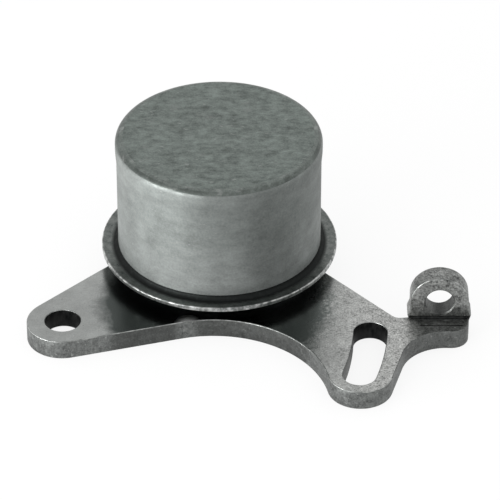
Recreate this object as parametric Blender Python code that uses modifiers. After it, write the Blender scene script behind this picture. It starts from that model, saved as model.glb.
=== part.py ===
"""Timing belt idler pulley: a steel cup on a double-row ball bearing, pinned to a slotted pivot plate.

Metres, +Z up. The origin is on the pulley's axis, in the rear face of the plate, and the cup's closed end
looks up.
"""

import math

import bmesh
import bpy
from mathutils import Matrix, Vector

MM = 0.001

# Clearances
SEAT_GAP = 0.3 * MM         # between pieces that touch on the real product
RUNNING_GAP = 0.6 * MM      # between pieces that turn past each other
HEAD_CLEARANCE = 1.9 * MM   # above the pin's head, under the closed end
CHORD_ERROR = 0.06 * MM     # how far a flat may lie inside the arc that it stands for
SHORTEST_EDGE = 0.05 * MM
CUTTER_EXCESS = 1.0 * MM    # how far a cutter runs past the faces that it cuts

# Plate
PLATE_THICKNESS = 6.0 * MM
PLATE_EDGE_ROUND = 0.35 * MM
BOSS_CENTRE_X = -1.45 * MM
BOSS_RADIUS = 18.2 * MM
PIVOT_X = -44.8 * MM
PIVOT_Y = -32.9 * MM
PIVOT_HOLE_RADIUS = 5.15 * MM
PIVOT_WALL = 5.25 * MM
SLOT_ARC_RADIUS = 88.4 * MM
SLOT_NEAR_ANGLE = math.radians(-3.6)
SLOT_FAR_ANGLE = math.radians(-16.8)
SLOT_WIDTH = 9.6 * MM
SLOT_SIDE_WALL = 4.5 * MM
SLOT_END_WALL = 3.55 * MM
SCOOP_RADIUS = 33.2 * MM
SCOOP_DISTANCE = 32.6 * MM  # from the pulley's axis to the front edge

# Ear, bent up from the plate's edge and as thick as the plate; heights are from the plate's top face
EAR_FROM_SLOT_X = 19.97 * MM
EAR_FROM_SLOT_Y = 6.75 * MM
EAR_HOLE_HEIGHT = 5.45 * MM
EAR_HOLE_RADIUS = 4.1 * MM
EAR_WALL = 4.3 * MM
EAR_ROOT_OVERLAP = 0.7 * MM  # how far the plate runs under the ear before the bend starts
EAR_FOOT_STEP = 0.2 * MM     # how far the ear's sides stand out of the plate's below the bulge
EAR_BULGE = 0.75 * MM
EAR_BULGE_LOW = -1.0 * MM
EAR_BULGE_PEAK = 0.8 * MM
EAR_BULGE_HIGH = 2.9 * MM
FOOT_LENGTH = 6.7 * MM
FOOT_CORNER_RADIUS = 5.0 * MM
FOOT_HOLLOW_RADIUS = 13.5 * MM
FOOT_HOLLOW_ANGLE = math.radians(-94.3)
RELIEF_RADIUS = 3.1 * MM
RELIEF_INSET = 0.3 * MM
RELIEF_STEP = 0.3 * MM
IMPRINT_OFFSET = 0.5 * MM
IMPRINT_WIDTH = 13.4 * MM
IMPRINT_LENGTH = 3.5 * MM
IMPRINT_DEPTH = 0.35 * MM
IMPRINT_CORNER = 0.8 * MM

# Pin, and what it clamps to the plate
PIN_TAIL_RADIUS = 8.0 * MM
PIN_FLARE = 1.2 * MM
PIN_HEAD_LIP = 3.3 * MM
PIN_HEAD_HEIGHT = 3.0 * MM
PIN_CHAMFER = 0.5 * MM
COLLAR_WALL = 5.0 * MM
COLLAR_HEIGHT = 4.9 * MM
COLLAR_CHAMFER = 0.5 * MM
SHIELD_THICKNESS = 0.8 * MM
SHIELD_RISE = 0.7 * MM
SHIELD_SKIRT = 1.7 * MM
SHIELD_LAND = 2.0 * MM
SPACER_WALL = 3.5 * MM
SPACER_HEIGHT = 3.0 * MM
WASHER_WALL = 4.0 * MM
WASHER_HEIGHT = 1.5 * MM

# Bearing
BEARING_BORE_RADIUS = 10.0 * MM
INNER_RING_WALL = 5.3 * MM
OUTER_RING_WALL = 5.3 * MM
RING_CHAMFER = 0.6 * MM
BALL_RADIUS = 3.969 * MM
BALLS_PER_ROW = 9
MIDDLE_LAND = 3.19 * MM     # between the two raceways
LAND_DEPTH = 2.7 * MM       # from the balls' pitch circle to either ring's shoulder
SEAL_THICKNESS = 0.7 * MM
SEAL_RECESS = 0.2 * MM
SEAL_SEAT_DEPTH = 1.2 * MM
CAGE_RADIAL_WIDTH = 3.2 * MM
CAGE_PRONG_REACH = 2.2 * MM  # past the row's plane
CAGE_BASE = 0.73 * MM        # behind the bottom of a pocket
CAGE_NOTCH_RADIUS = 1.2 * MM

# Snap ring that holds the bearing in the cup
SNAP_THICKNESS = 1.5 * MM
SNAP_GROOVE_DEPTH = 1.0 * MM
SNAP_WIDTH = 2.8 * MM
SNAP_GAP_ANGLE = math.radians(20)
SNAP_LUG_RADIUS = 1.9 * MM
SNAP_LUG_INSET = 0.4 * MM
SNAP_LUG_HOLE_RADIUS = 0.9 * MM

# Cup
CUP_WALL = 3.4 * MM
CUP_END_WALL = 3.0 * MM
CUP_SHOULDER = 1.7 * MM
CUP_CORNER_RADIUS = 2.0 * MM
CUP_INNER_CORNER = 2.5 * MM
CUP_MOUTH_DEPTH = 3.8 * MM
CUP_MOUTH_CHAMFER = 0.5 * MM
RIM_STEP = 0.3 * MM
RIM_HEIGHT = 6.5 * MM
FLANGE_REACH = 4.75 * MM
FLANGE_THICKNESS = 1.45 * MM
FLANGE_EDGE_ROUND = 0.35 * MM
GUTTER_RADIUS = 1.5 * MM
GUTTER_DEPTH = 0.45 * MM

CUP_SEGMENTS = 54
RING_SEGMENTS = 30
SHIELD_SEGMENTS = 36
HOLE_SEGMENTS = 24
BALL_SEGMENTS = 10
BALL_RINGS = 6
NOTCH_SEGMENTS = 8

# Heights, widths and radii that follow from the sizes above
GROOVE_RADIUS = BALL_RADIUS + SEAT_GAP
GROOVE_HALF_WIDTH = math.sqrt(GROOVE_RADIUS**2 - LAND_DEPTH**2)
ROW_SPACING = 2 * GROOVE_HALF_WIDTH + MIDDLE_LAND
ROW_INSET = GROOVE_RADIUS + CAGE_BASE + SEAT_GAP + SEAL_THICKNESS + SEAL_RECESS
BEARING_WIDTH = ROW_SPACING + 2 * ROW_INSET
PLATE_TOP = PLATE_THICKNESS
COLLAR_BOTTOM = PLATE_TOP + SEAT_GAP
SHIELD_BOTTOM = COLLAR_BOTTOM + COLLAR_HEIGHT + SEAT_GAP
SPACER_BOTTOM = SHIELD_BOTTOM + SHIELD_THICKNESS + SEAT_GAP
BEARING_BOTTOM = SPACER_BOTTOM + SPACER_HEIGHT + SEAT_GAP
BEARING_TOP = BEARING_BOTTOM + BEARING_WIDTH
BEARING_MIDDLE = (BEARING_BOTTOM + BEARING_TOP) / 2
WASHER_BOTTOM = BEARING_TOP + SEAT_GAP
PIN_HEAD_BOTTOM = WASHER_BOTTOM + WASHER_HEIGHT + SEAT_GAP
PIN_TOP = PIN_HEAD_BOTTOM + PIN_HEAD_HEIGHT
CUP_CEILING = PIN_TOP + HEAD_CLEARANCE
CUP_TOP = CUP_CEILING + CUP_END_WALL
SNAP_TOP = BEARING_BOTTOM - SEAT_GAP
SNAP_BOTTOM = SNAP_TOP - SNAP_THICKNESS
CUP_BOTTOM = SNAP_BOTTOM - SEAT_GAP - CUP_MOUTH_DEPTH

INNER_LAND_RADIUS = BEARING_BORE_RADIUS + INNER_RING_WALL
PITCH_RADIUS = INNER_LAND_RADIUS + LAND_DEPTH
OUTER_LAND_RADIUS = PITCH_RADIUS + LAND_DEPTH
BEARING_OUTER_RADIUS = OUTER_LAND_RADIUS + OUTER_RING_WALL
SEAL_INNER_RADIUS = INNER_LAND_RADIUS + SEAT_GAP
SEAL_OUTER_RADIUS = OUTER_LAND_RADIUS + SEAL_SEAT_DEPTH - SEAT_GAP
SEAL_SEAT_HEIGHT = SEAL_RECESS + SEAL_THICKNESS + SEAT_GAP
PIN_JOURNAL_RADIUS = BEARING_BORE_RADIUS - SEAT_GAP
PIN_HOLE_RADIUS = PIN_TAIL_RADIUS + SEAT_GAP
PIN_HEAD_RADIUS = PIN_JOURNAL_RADIUS + PIN_HEAD_LIP
COLLAR_RADIUS = BEARING_BORE_RADIUS + COLLAR_WALL
CUP_BORE_RADIUS = BEARING_OUTER_RADIUS + SEAT_GAP
BELT_FACE_RADIUS = CUP_BORE_RADIUS + CUP_WALL
RIM_RADIUS = BELT_FACE_RADIUS + RIM_STEP
FLANGE_RADIUS = BELT_FACE_RADIUS + FLANGE_REACH
SNAP_GROOVE_RADIUS = CUP_BORE_RADIUS + SNAP_GROOVE_DEPTH
SLOT_END_X = PIVOT_X + SLOT_ARC_RADIUS * math.cos(SLOT_NEAR_ANGLE)
SLOT_END_Y = PIVOT_Y + SLOT_ARC_RADIUS * math.sin(SLOT_NEAR_ANGLE)
EAR_X = SLOT_END_X + EAR_FROM_SLOT_X
EAR_FRONT_Y = SLOT_END_Y + EAR_FROM_SLOT_Y
EAR_REAR_Y = EAR_FRONT_Y + PLATE_THICKNESS
EAR_BEND_RADIUS = PLATE_THICKNESS - EAR_ROOT_OVERLAP
EAR_RADIUS = EAR_HOLE_RADIUS + EAR_WALL
EAR_HOLE_Z = PLATE_TOP + EAR_HOLE_HEIGHT
EAR_TOP = EAR_HOLE_Z + EAR_RADIUS
IMPRINT_X = EAR_X + IMPRINT_OFFSET

for old in list(bpy.data.objects):
    bpy.data.objects.remove(old, do_unlink=True)

PARTS = bpy.data.collections.new("timing_belt_idler_pulley")
CUTTERS = bpy.data.collections.new("cutters")
for group in (PARTS, CUTTERS):
    bpy.context.scene.collection.children.link(group)


def steel(name, colour, roughness, metallic=1.0):
    """A plain metal or plastic finish."""
    made = bpy.data.materials.new(name)
    made.use_nodes = True
    shader = made.node_tree.nodes["Principled BSDF"]
    shader.inputs["Base Color"].default_value = (*colour, 1.0)
    shader.inputs["Roughness"].default_value = roughness
    shader.inputs["Metallic"].default_value = metallic
    return made


PRESSED_STEEL = steel("pressed_steel", (0.26, 0.27, 0.26), 0.45)
CUP_STEEL = steel("cup_steel", (0.30, 0.32, 0.30), 0.38)
TURNED_STEEL = steel("turned_steel", (0.42, 0.42, 0.41), 0.32)
RING_STEEL = steel("ring_steel", (0.55, 0.55, 0.56), 0.22)
BALL_STEEL = steel("ball_steel", (0.72, 0.72, 0.74), 0.08)
SPRING_STEEL = steel("spring_steel", (0.12, 0.12, 0.13), 0.4)
SHIELD_STEEL = steel("shield_steel", (0.40, 0.40, 0.42), 0.35)
SEAL_RUBBER = steel("seal_rubber", (0.03, 0.03, 0.03), 0.7, 0.0)
CAGE_NYLON = steel("cage_nylon", (0.62, 0.50, 0.30), 0.5, 0.0)


def place(name, mesh, finish):
    """Put a mesh into the model as one named piece."""
    mesh.materials.clear()
    mesh.materials.append(finish)
    piece = bpy.data.objects.new(name, mesh)
    PARTS.objects.link(piece)
    return piece


def cutter(name, mesh):
    """Put a mesh among the cutters, drawn as wire and left out of renders."""
    tool = bpy.data.objects.new(name, mesh)
    CUTTERS.objects.link(tool)
    tool.hide_render = True
    tool.display_type = "WIRE"
    return tool


def arc(centre, radius, start, end, error=CHORD_ERROR):
    """Points along an arc from one angle to another, with flats that lie within an error of it."""
    step = 2 * math.acos(1 - error / radius)
    count = max(2, math.ceil(abs(end - start) / step))
    angles = [start + (end - start) * i / count for i in range(count + 1)]
    return [(centre[0] + radius * math.cos(a), centre[1] + radius * math.sin(a)) for a in angles]


def profile_mesh(name, points, closed):
    """Edges in the XZ plane, ready for a Screw modifier."""
    mesh = bpy.data.meshes.new(name)
    edges = [(i, i + 1) for i in range(len(points) - 1)]
    if closed:
        edges.append((len(points) - 1, 0))
    mesh.from_pydata([(x, 0.0, z) for x, z in points], edges, [])
    return mesh


def turn(piece, segments):
    """Spin a profile about Z."""
    screw = piece.modifiers.new("turned", "SCREW")
    screw.axis = "Z"
    screw.angle = 2 * math.pi
    screw.steps = segments
    screw.render_steps = segments
    screw.use_merge_vertices = True
    screw.merge_threshold = 1e-6
    screw.use_smooth_shade = True
    return piece


def turned_ring(name, points, segments, finish):
    """A ring: its closed profile runs down the outer side and back up the bore."""
    return turn(place(name, profile_mesh(name, points, True), finish), segments)


def flat_solid(name, loops, thickness, stand, edge_round=0.0):
    """Mesh of a flat outline with its holes, centred on the plane that stand places.

    The outline runs anticlockwise and its holes clockwise, so that a rounded edge takes metal off both.
    """
    curve = bpy.data.curves.new(name, "CURVE")
    curve.dimensions = "2D"
    curve.fill_mode = "BOTH"
    curve.extrude = thickness / 2 - edge_round
    curve.bevel_depth = edge_round
    curve.bevel_resolution = 0
    curve.offset = -edge_round
    for loop in loops:
        spline = curve.splines.new("POLY")
        spline.points.add(len(loop) - 1)
        for point, (x, y) in zip(spline.points, loop):
            point.co = (x, y, 0.0, 1.0)
        spline.use_cyclic_u = True
    drawn = bpy.data.objects.new(name, curve)
    PARTS.objects.link(drawn)
    bpy.context.view_layer.update()
    mesh = bpy.data.meshes.new_from_object(drawn.evaluated_get(bpy.context.evaluated_depsgraph_get()))
    bpy.data.objects.remove(drawn, do_unlink=True)
    bpy.data.curves.remove(curve)
    work = bmesh.new()
    work.from_mesh(mesh)
    bmesh.ops.remove_doubles(work, verts=work.verts, dist=1e-6)
    bmesh.ops.recalc_face_normals(work, faces=work.faces)
    work.transform(stand)
    work.to_mesh(mesh)
    work.free()
    mesh.name = name
    return mesh


def drill(name, radius, depth, flares, segments):
    """A cutter for a round hole up from Z = 0, with a 45 degree flare at its foot and one at its head."""
    foot, head = flares
    points = [
        (0.0, depth + CUTTER_EXCESS),
        (radius + head + CUTTER_EXCESS, depth + CUTTER_EXCESS),
        (radius, depth - head),
        (radius, foot),
        (radius + foot + CUTTER_EXCESS, -CUTTER_EXCESS),
        (0.0, -CUTTER_EXCESS),
    ]
    return turn(cutter(name, profile_mesh(name, points, False)), segments)


def combine(piece, tool, operation):
    """Join, cut or trim a piece with another solid."""
    boolean = piece.modifiers.new(tool.name, "BOOLEAN")
    boolean.object = tool
    boolean.operation = operation
    boolean.solver = "EXACT"


def clean_loop(points):
    """Drop points that all but repeat the one before them, all round."""
    kept = []
    for point in points:
        if not kept or math.dist(point, kept[-1]) > SHORTEST_EDGE:
            kept.append(point)
    if math.dist(kept[0], kept[-1]) <= SHORTEST_EDGE:
        kept.pop()
    return kept


def line_normal(first, second):
    """Angle of the outward normal of the line that touches two signed circles, one after the other."""
    span = math.hypot(second[0] - first[0], second[1] - first[1])
    lean = max(-1.0, min(1.0, (first[2] - second[2]) / span))
    return math.atan2(second[1] - first[1], second[0] - first[0]) - math.acos(lean)


def blended_outline(circles):
    """Anticlockwise outline that touches circles (x, y, radius) in turn.

    A positive radius bulges out, a negative one hollows the outline, and zero is a sharp corner.
    """
    normals = [line_normal(a, b) for a, b in zip(circles, circles[1:] + circles[:1])]
    points = []
    for index, (x, y, radius) in enumerate(circles):
        arrive = normals[index - 1]
        sweep = (normals[index] - arrive) % (2 * math.pi)
        if radius > 0:
            points += arc((x, y), radius, arrive, arrive + sweep)
        elif radius < 0:
            points += arc((x, y), -radius, arrive + math.pi, arrive - math.pi + sweep)
        else:
            points.append((x, y))
    return clean_loop(points)


def touching_centre(first, first_distance, second, second_distance):
    """Point at given distances from two centres, to the right of the way from first to second."""
    way = Vector(second) - Vector(first)
    along = (first_distance**2 - second_distance**2 + way.length**2) / (2 * way.length)
    across = math.sqrt(first_distance**2 - along**2)
    unit = way.normalized()
    return Vector(first) + unit * along + Vector((unit.y, -unit.x)) * across


def ring_pattern(count):
    """Angles of equally spaced copies."""
    return [2 * math.pi * i / count for i in range(count)]


def on_slot_arc(angle, radius):
    """Point at a radius from the pivot hole, in a direction."""
    return (PIVOT_X + radius * math.cos(angle), PIVOT_Y + radius * math.sin(angle))


def slot_loop():
    """The slot: an arc about the pivot hole with round ends."""
    half = SLOT_WIDTH / 2
    near, far = SLOT_NEAR_ANGLE, SLOT_FAR_ANGLE
    pivot = (PIVOT_X, PIVOT_Y)
    near_centre = on_slot_arc(near, SLOT_ARC_RADIUS)
    far_centre = on_slot_arc(far, SLOT_ARC_RADIUS)
    return clean_loop(
        arc(pivot, SLOT_ARC_RADIUS + half, far, near)
        + arc(near_centre, half, near, near + math.pi)
        + arc(pivot, SLOT_ARC_RADIUS - half, near, far)
        + arc(far_centre, half, far + math.pi, far + 2 * math.pi)
    )


def plate_outline():
    """The plate's plan view, its front edge scooped and its corners round."""
    lobe_radius = SLOT_WIDTH / 2 + SLOT_SIDE_WALL
    lobe_angle = SLOT_FAR_ANGLE + (SLOT_SIDE_WALL - SLOT_END_WALL) / SLOT_ARC_RADIUS
    lobe = on_slot_arc(lobe_angle, SLOT_ARC_RADIUS)
    corner = (EAR_X + EAR_RADIUS - FOOT_CORNER_RADIUS, EAR_FRONT_Y - FOOT_LENGTH + FOOT_CORNER_RADIUS)
    reach = FOOT_HOLLOW_RADIUS + FOOT_CORNER_RADIUS
    lean = FOOT_HOLLOW_ANGLE
    hollow = (corner[0] + reach * math.cos(lean), corner[1] + reach * math.sin(lean))
    root_y = EAR_FRONT_Y + EAR_ROOT_OVERLAP
    relief = (EAR_X - EAR_RADIUS - RELIEF_RADIUS + RELIEF_INSET, EAR_FRONT_Y + RELIEF_RADIUS + RELIEF_STEP)
    scoop = touching_centre((0, 0), SCOOP_DISTANCE + SCOOP_RADIUS, lobe, SCOOP_RADIUS + lobe_radius)
    return blended_outline([
        (*lobe, lobe_radius),
        (*hollow, -FOOT_HOLLOW_RADIUS),
        (*corner, FOOT_CORNER_RADIUS),
        (EAR_X + EAR_RADIUS, root_y, 0.0),
        (relief[0] + RELIEF_RADIUS + EAR_BULGE, root_y, 0.0),
        (*relief, -RELIEF_RADIUS),
        (BOSS_CENTRE_X, 0.0, BOSS_RADIUS),
        (PIVOT_X, PIVOT_Y, PIVOT_HOLE_RADIUS + PIVOT_WALL),
        (*scoop, -SCOOP_RADIUS),
    ])


def ear_outline():
    """The ear from the front, in X and Z: a full round top, and a bulge where the bend upset the metal."""
    wide = EAR_RADIUS + EAR_BULGE
    foot = EAR_RADIUS + EAR_FOOT_STEP
    side = [(foot, EAR_BULGE_LOW), (wide, EAR_BULGE_PEAK), (EAR_RADIUS, EAR_BULGE_HIGH)]
    right = [(EAR_X + foot, 0.0)] + [(EAR_X + x, PLATE_TOP + z) for x, z in side]
    left = [(EAR_X - x, PLATE_TOP + z) for x, z in reversed(side)] + [(EAR_X - foot, 0.0)]
    return clean_loop(right + arc((EAR_X, EAR_HOLE_Z), EAR_RADIUS, 0.0, math.pi) + left)


def ear_section():
    """The ear from its side, in Y and Z: flat in front, and round where the plate bends up behind."""
    bend = arc((EAR_REAR_Y - EAR_BEND_RADIUS, EAR_BEND_RADIUS), EAR_BEND_RADIUS, -math.pi / 2, 0.0)
    low, front = -CUTTER_EXCESS, EAR_FRONT_Y - CUTTER_EXCESS
    rear, above = EAR_REAR_Y + CUTTER_EXCESS, EAR_TOP + CUTTER_EXCESS
    return [(front, low), (bend[0][0], low)] + bend + [(rear, bend[-1][1]), (rear, above), (front, above)]


def stood_on(x_axis, y_axis, origin):
    """Matrix that lays a flat drawing's X and Y along two directions."""
    z_axis = Vector(x_axis).cross(Vector(y_axis))
    turned_axes = Matrix((x_axis, y_axis, z_axis)).transposed().to_4x4()
    return Matrix.Translation(origin) @ turned_axes


def build_plate():
    """The plate with its ear, holes and slot: one piece of steel, blanked and bent."""
    pivot_hole = clean_loop(arc((PIVOT_X, PIVOT_Y), PIVOT_HOLE_RADIUS, 2 * math.pi, 0.0))
    loops = [plate_outline(), pivot_hole, slot_loop()[::-1]]
    lift = Matrix.Translation((0, 0, PLATE_THICKNESS / 2))
    blank = flat_solid("base_plate", loops, PLATE_THICKNESS, lift, PLATE_EDGE_ROUND)
    plate = place("base_plate", blank, PRESSED_STEEL)

    facing_front = stood_on((1, 0, 0), (0, 0, 1), (0, EAR_FRONT_Y + PLATE_THICKNESS / 2, 0))
    facing_side = stood_on((0, 1, 0), (0, 0, 1), (EAR_X, 0, 0))
    front = flat_solid("ear_front_view", [ear_outline()], PLATE_THICKNESS, facing_front, PLATE_EDGE_ROUND)
    side = flat_solid("ear_side_view", [ear_section()], 4 * EAR_RADIUS, facing_side)
    ear = cutter("ear_front_view", front)
    combine(ear, cutter("ear_side_view", side), "INTERSECT")
    combine(plate, ear, "UNION")

    flares = (PIN_FLARE, PLATE_EDGE_ROUND)
    pin_hole = drill("pin_hole", PIN_HOLE_RADIUS, PLATE_THICKNESS, flares, RING_SEGMENTS)
    combine(plate, pin_hole, "DIFFERENCE")
    flares = (PLATE_EDGE_ROUND, PLATE_EDGE_ROUND)
    ear_hole = drill("ear_hole", EAR_HOLE_RADIUS, PLATE_THICKNESS, flares, HOLE_SEGMENTS)
    ear_hole.matrix_world = stood_on((1, 0, 0), (0, 0, -1), (EAR_X, EAR_FRONT_Y, EAR_HOLE_Z))
    combine(plate, ear_hole, "DIFFERENCE")

    half_width = IMPRINT_WIDTH / 2 - IMPRINT_CORNER
    near, far = EAR_FRONT_Y - IMPRINT_LENGTH + IMPRINT_CORNER, EAR_FRONT_Y - 2 * IMPRINT_CORNER
    imprint = blended_outline([
        (IMPRINT_X - half_width, near, IMPRINT_CORNER),
        (IMPRINT_X + half_width, near, IMPRINT_CORNER),
        (IMPRINT_X + half_width, far, IMPRINT_CORNER),
        (IMPRINT_X - half_width, far, IMPRINT_CORNER),
    ])
    above = Matrix.Translation((0, 0, PLATE_TOP))
    punch = flat_solid("punch_imprint", [imprint], 2 * IMPRINT_DEPTH, above)
    combine(plate, cutter("punch_imprint", punch), "DIFFERENCE")


def build_pin():
    """The headed pin: it passes down through the bearing and is riveted into the plate."""
    tail_flare = PIN_TAIL_RADIUS + PIN_FLARE
    points = [
        (0.0, PIN_TOP),
        (PIN_HEAD_RADIUS - PIN_CHAMFER, PIN_TOP),
        (PIN_HEAD_RADIUS, PIN_TOP - PIN_CHAMFER),
        (PIN_HEAD_RADIUS, PIN_HEAD_BOTTOM),
        (PIN_JOURNAL_RADIUS, PIN_HEAD_BOTTOM),
        (PIN_JOURNAL_RADIUS, COLLAR_BOTTOM),
        (PIN_TAIL_RADIUS, COLLAR_BOTTOM),
        (PIN_TAIL_RADIUS, PIN_FLARE),
        (tail_flare, 0.0),
        (0.0, 0.0),
    ]
    turn(place("bearing_pin", profile_mesh("bearing_pin", points, False), TURNED_STEEL), RING_SEGMENTS)


def build_stack():
    """The rings and the disc that the pin clamps between the plate and its head."""
    bore = BEARING_BORE_RADIUS
    collar_top = COLLAR_BOTTOM + COLLAR_HEIGHT
    turned_ring("pin_collar", [
        (COLLAR_RADIUS - COLLAR_CHAMFER, collar_top),
        (COLLAR_RADIUS, collar_top - COLLAR_CHAMFER),
        (COLLAR_RADIUS, COLLAR_BOTTOM + COLLAR_CHAMFER),
        (COLLAR_RADIUS - COLLAR_CHAMFER, COLLAR_BOTTOM),
        (bore, COLLAR_BOTTOM),
        (bore, collar_top),
    ], RING_SEGMENTS, TURNED_STEEL)

    edge = CUP_BORE_RADIUS - RUNNING_GAP
    clamped = COLLAR_RADIUS + SHIELD_LAND / 2
    low, high = SHIELD_BOTTOM, SHIELD_BOTTOM + SHIELD_RISE
    sheet = SHIELD_THICKNESS
    turned_ring("dust_shield", [
        (edge, high + sheet),
        (edge, high + sheet - SHIELD_SKIRT),
        (edge - sheet, high + sheet - SHIELD_SKIRT),
        (edge - sheet, high),
        (clamped + SHIELD_LAND, high),
        (clamped, low),
        (bore, low),
        (bore, low + sheet),
        (clamped - sheet / 2, low + sheet),
        (clamped + SHIELD_LAND - sheet / 2, high + sheet),
    ], SHIELD_SEGMENTS, SHIELD_STEEL)

    for name, wall, bottom, height in (
        ("spacer_ring", SPACER_WALL, SPACER_BOTTOM, SPACER_HEIGHT),
        ("head_washer", WASHER_WALL, WASHER_BOTTOM, WASHER_HEIGHT),
    ):
        turned_ring(name, [
            (bore + wall, bottom + height),
            (bore + wall, bottom),
            (bore, bottom),
            (bore, bottom + height),
        ], RING_SEGMENTS, TURNED_STEEL)


def raceway(row_height, side):
    """Groove for a row of balls, from its lower edge to its upper one, in the ring on one side of the row."""
    half_angle = math.asin(GROOVE_HALF_WIDTH / GROOVE_RADIUS)
    points = arc((0.0, 0.0), GROOVE_RADIUS, -half_angle, half_angle, 2 * CHORD_ERROR)
    return [(PITCH_RADIUS + side * x, row_height + z) for x, z in points]


def build_inner_ring(name, row_height, outer_end, inner_end):
    """Half of the split inner ring: outer_end is its face at the bearing's side, inner_end its other face."""
    inward = math.copysign(RING_CHAMFER, inner_end - outer_end)
    points = raceway(row_height, -1)[::-1] + [
        (INNER_LAND_RADIUS, min(outer_end, inner_end)),
        (BEARING_BORE_RADIUS, min(outer_end, inner_end)),
        (BEARING_BORE_RADIUS, max(outer_end, inner_end)),
        (INNER_LAND_RADIUS, max(outer_end, inner_end)),
    ]
    square = points.index((BEARING_BORE_RADIUS, outer_end))
    chamfer = [(BEARING_BORE_RADIUS + RING_CHAMFER, outer_end), (BEARING_BORE_RADIUS, outer_end + inward)]
    points[square:square + 1] = chamfer if inward > 0 else chamfer[::-1]
    turned_ring(name, points, RING_SEGMENTS, RING_STEEL)


def build_outer_ring():
    """The one-piece outer ring, with two raceways and a seat for a seal at each end."""
    seat = OUTER_LAND_RADIUS + SEAL_SEAT_DEPTH
    bottom, top = BEARING_BOTTOM, BEARING_TOP
    rows = [BEARING_MIDDLE + side * ROW_SPACING / 2 for side in (-1, 1)]
    return turned_ring("outer_ring", [
        (BEARING_OUTER_RADIUS - RING_CHAMFER, top),
        (BEARING_OUTER_RADIUS, top - RING_CHAMFER),
        (BEARING_OUTER_RADIUS, bottom + RING_CHAMFER),
        (BEARING_OUTER_RADIUS - RING_CHAMFER, bottom),
        (seat, bottom),
        (seat, bottom + SEAL_SEAT_HEIGHT),
        (OUTER_LAND_RADIUS, bottom + SEAL_SEAT_HEIGHT),
        *raceway(rows[0], 1),
        *raceway(rows[1], 1),
        (OUTER_LAND_RADIUS, top - SEAL_SEAT_HEIGHT),
        (seat, top - SEAL_SEAT_HEIGHT),
        (seat, top),
    ], RING_SEGMENTS, RING_STEEL)


def build_seal(name, outer_face, inward):
    """A seal let into the bearing's side: a stiffened disc with a thin lip towards the inner ring."""
    near = outer_face + inward * SEAL_RECESS
    far = near + inward * SEAL_THICKNESS
    top, bottom = max(near, far), min(near, far)
    lip = SEAL_THICKNESS / 3
    return turned_ring(name, [
        (SEAL_OUTER_RADIUS, top),
        (SEAL_OUTER_RADIUS, bottom),
        (SEAL_INNER_RADIUS + 2 * lip, bottom),
        (SEAL_INNER_RADIUS, bottom + lip),
        (SEAL_INNER_RADIUS, top - lip),
        (SEAL_INNER_RADIUS + 2 * lip, top),
    ], RING_SEGMENTS, SEAL_RUBBER)


def sphere_into(work, radius, stand):
    """Add a ball to a mesh under way."""
    bmesh.ops.create_uvsphere(
        work, u_segments=BALL_SEGMENTS, v_segments=BALL_RINGS, radius=radius, matrix=stand
    )


def build_cage(name, row_height, inward):
    """A crown cage: a ring behind the balls, with pockets that close over them and a notch between prongs."""
    half = CAGE_RADIAL_WIDTH / 2
    back = row_height - inward * (GROOVE_RADIUS + CAGE_BASE)
    tips = row_height + inward * CAGE_PRONG_REACH
    top, bottom = max(back, tips), min(back, tips)
    cage = turned_ring(name, [
        (PITCH_RADIUS + half, top),
        (PITCH_RADIUS + half, bottom),
        (PITCH_RADIUS - half, bottom),
        (PITCH_RADIUS - half, top),
    ], RING_SEGMENTS, CAGE_NYLON)

    mesh = bpy.data.meshes.new(name + "_pockets")
    work = bmesh.new()
    for angle in ring_pattern(BALLS_PER_ROW):
        spin = Matrix.Rotation(angle, 4, "Z")
        sphere_into(work, GROOVE_RADIUS, spin @ Matrix.Translation((PITCH_RADIUS, 0, row_height)))
        between = Matrix.Rotation(math.pi / BALLS_PER_ROW, 4, "Z") @ spin
        outside = tips + inward * CAGE_NOTCH_RADIUS / 4
        lying = Matrix.Rotation(math.pi / 2, 4, "Y")
        notch = between @ Matrix.Translation((PITCH_RADIUS, 0, outside)) @ lying
        bmesh.ops.create_cone(
            work,
            cap_ends=True,
            segments=NOTCH_SEGMENTS,
            radius1=CAGE_NOTCH_RADIUS,
            radius2=CAGE_NOTCH_RADIUS,
            depth=2 * CAGE_RADIAL_WIDTH,
            matrix=notch,
        )
    work.to_mesh(mesh)
    work.free()
    combine(cage, cutter(name + "_pockets", mesh), "DIFFERENCE")
    return cage


def build_balls(row, row_height, axis):
    """One row of balls, all of one mesh."""
    mesh = bpy.data.meshes.new("ball_" + row)
    work = bmesh.new()
    sphere_into(work, BALL_RADIUS, Matrix.Identity(4))
    for face in work.faces:
        face.smooth = True
    work.to_mesh(mesh)
    work.free()
    for number, angle in enumerate(ring_pattern(BALLS_PER_ROW), start=1):
        ball = place(f"ball_{row}_{number:02d}", mesh, BALL_STEEL)
        ball.location = (PITCH_RADIUS * math.cos(angle), PITCH_RADIUS * math.sin(angle), row_height)
        ball.rotation_euler.z = angle
        ball.parent = axis


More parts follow.
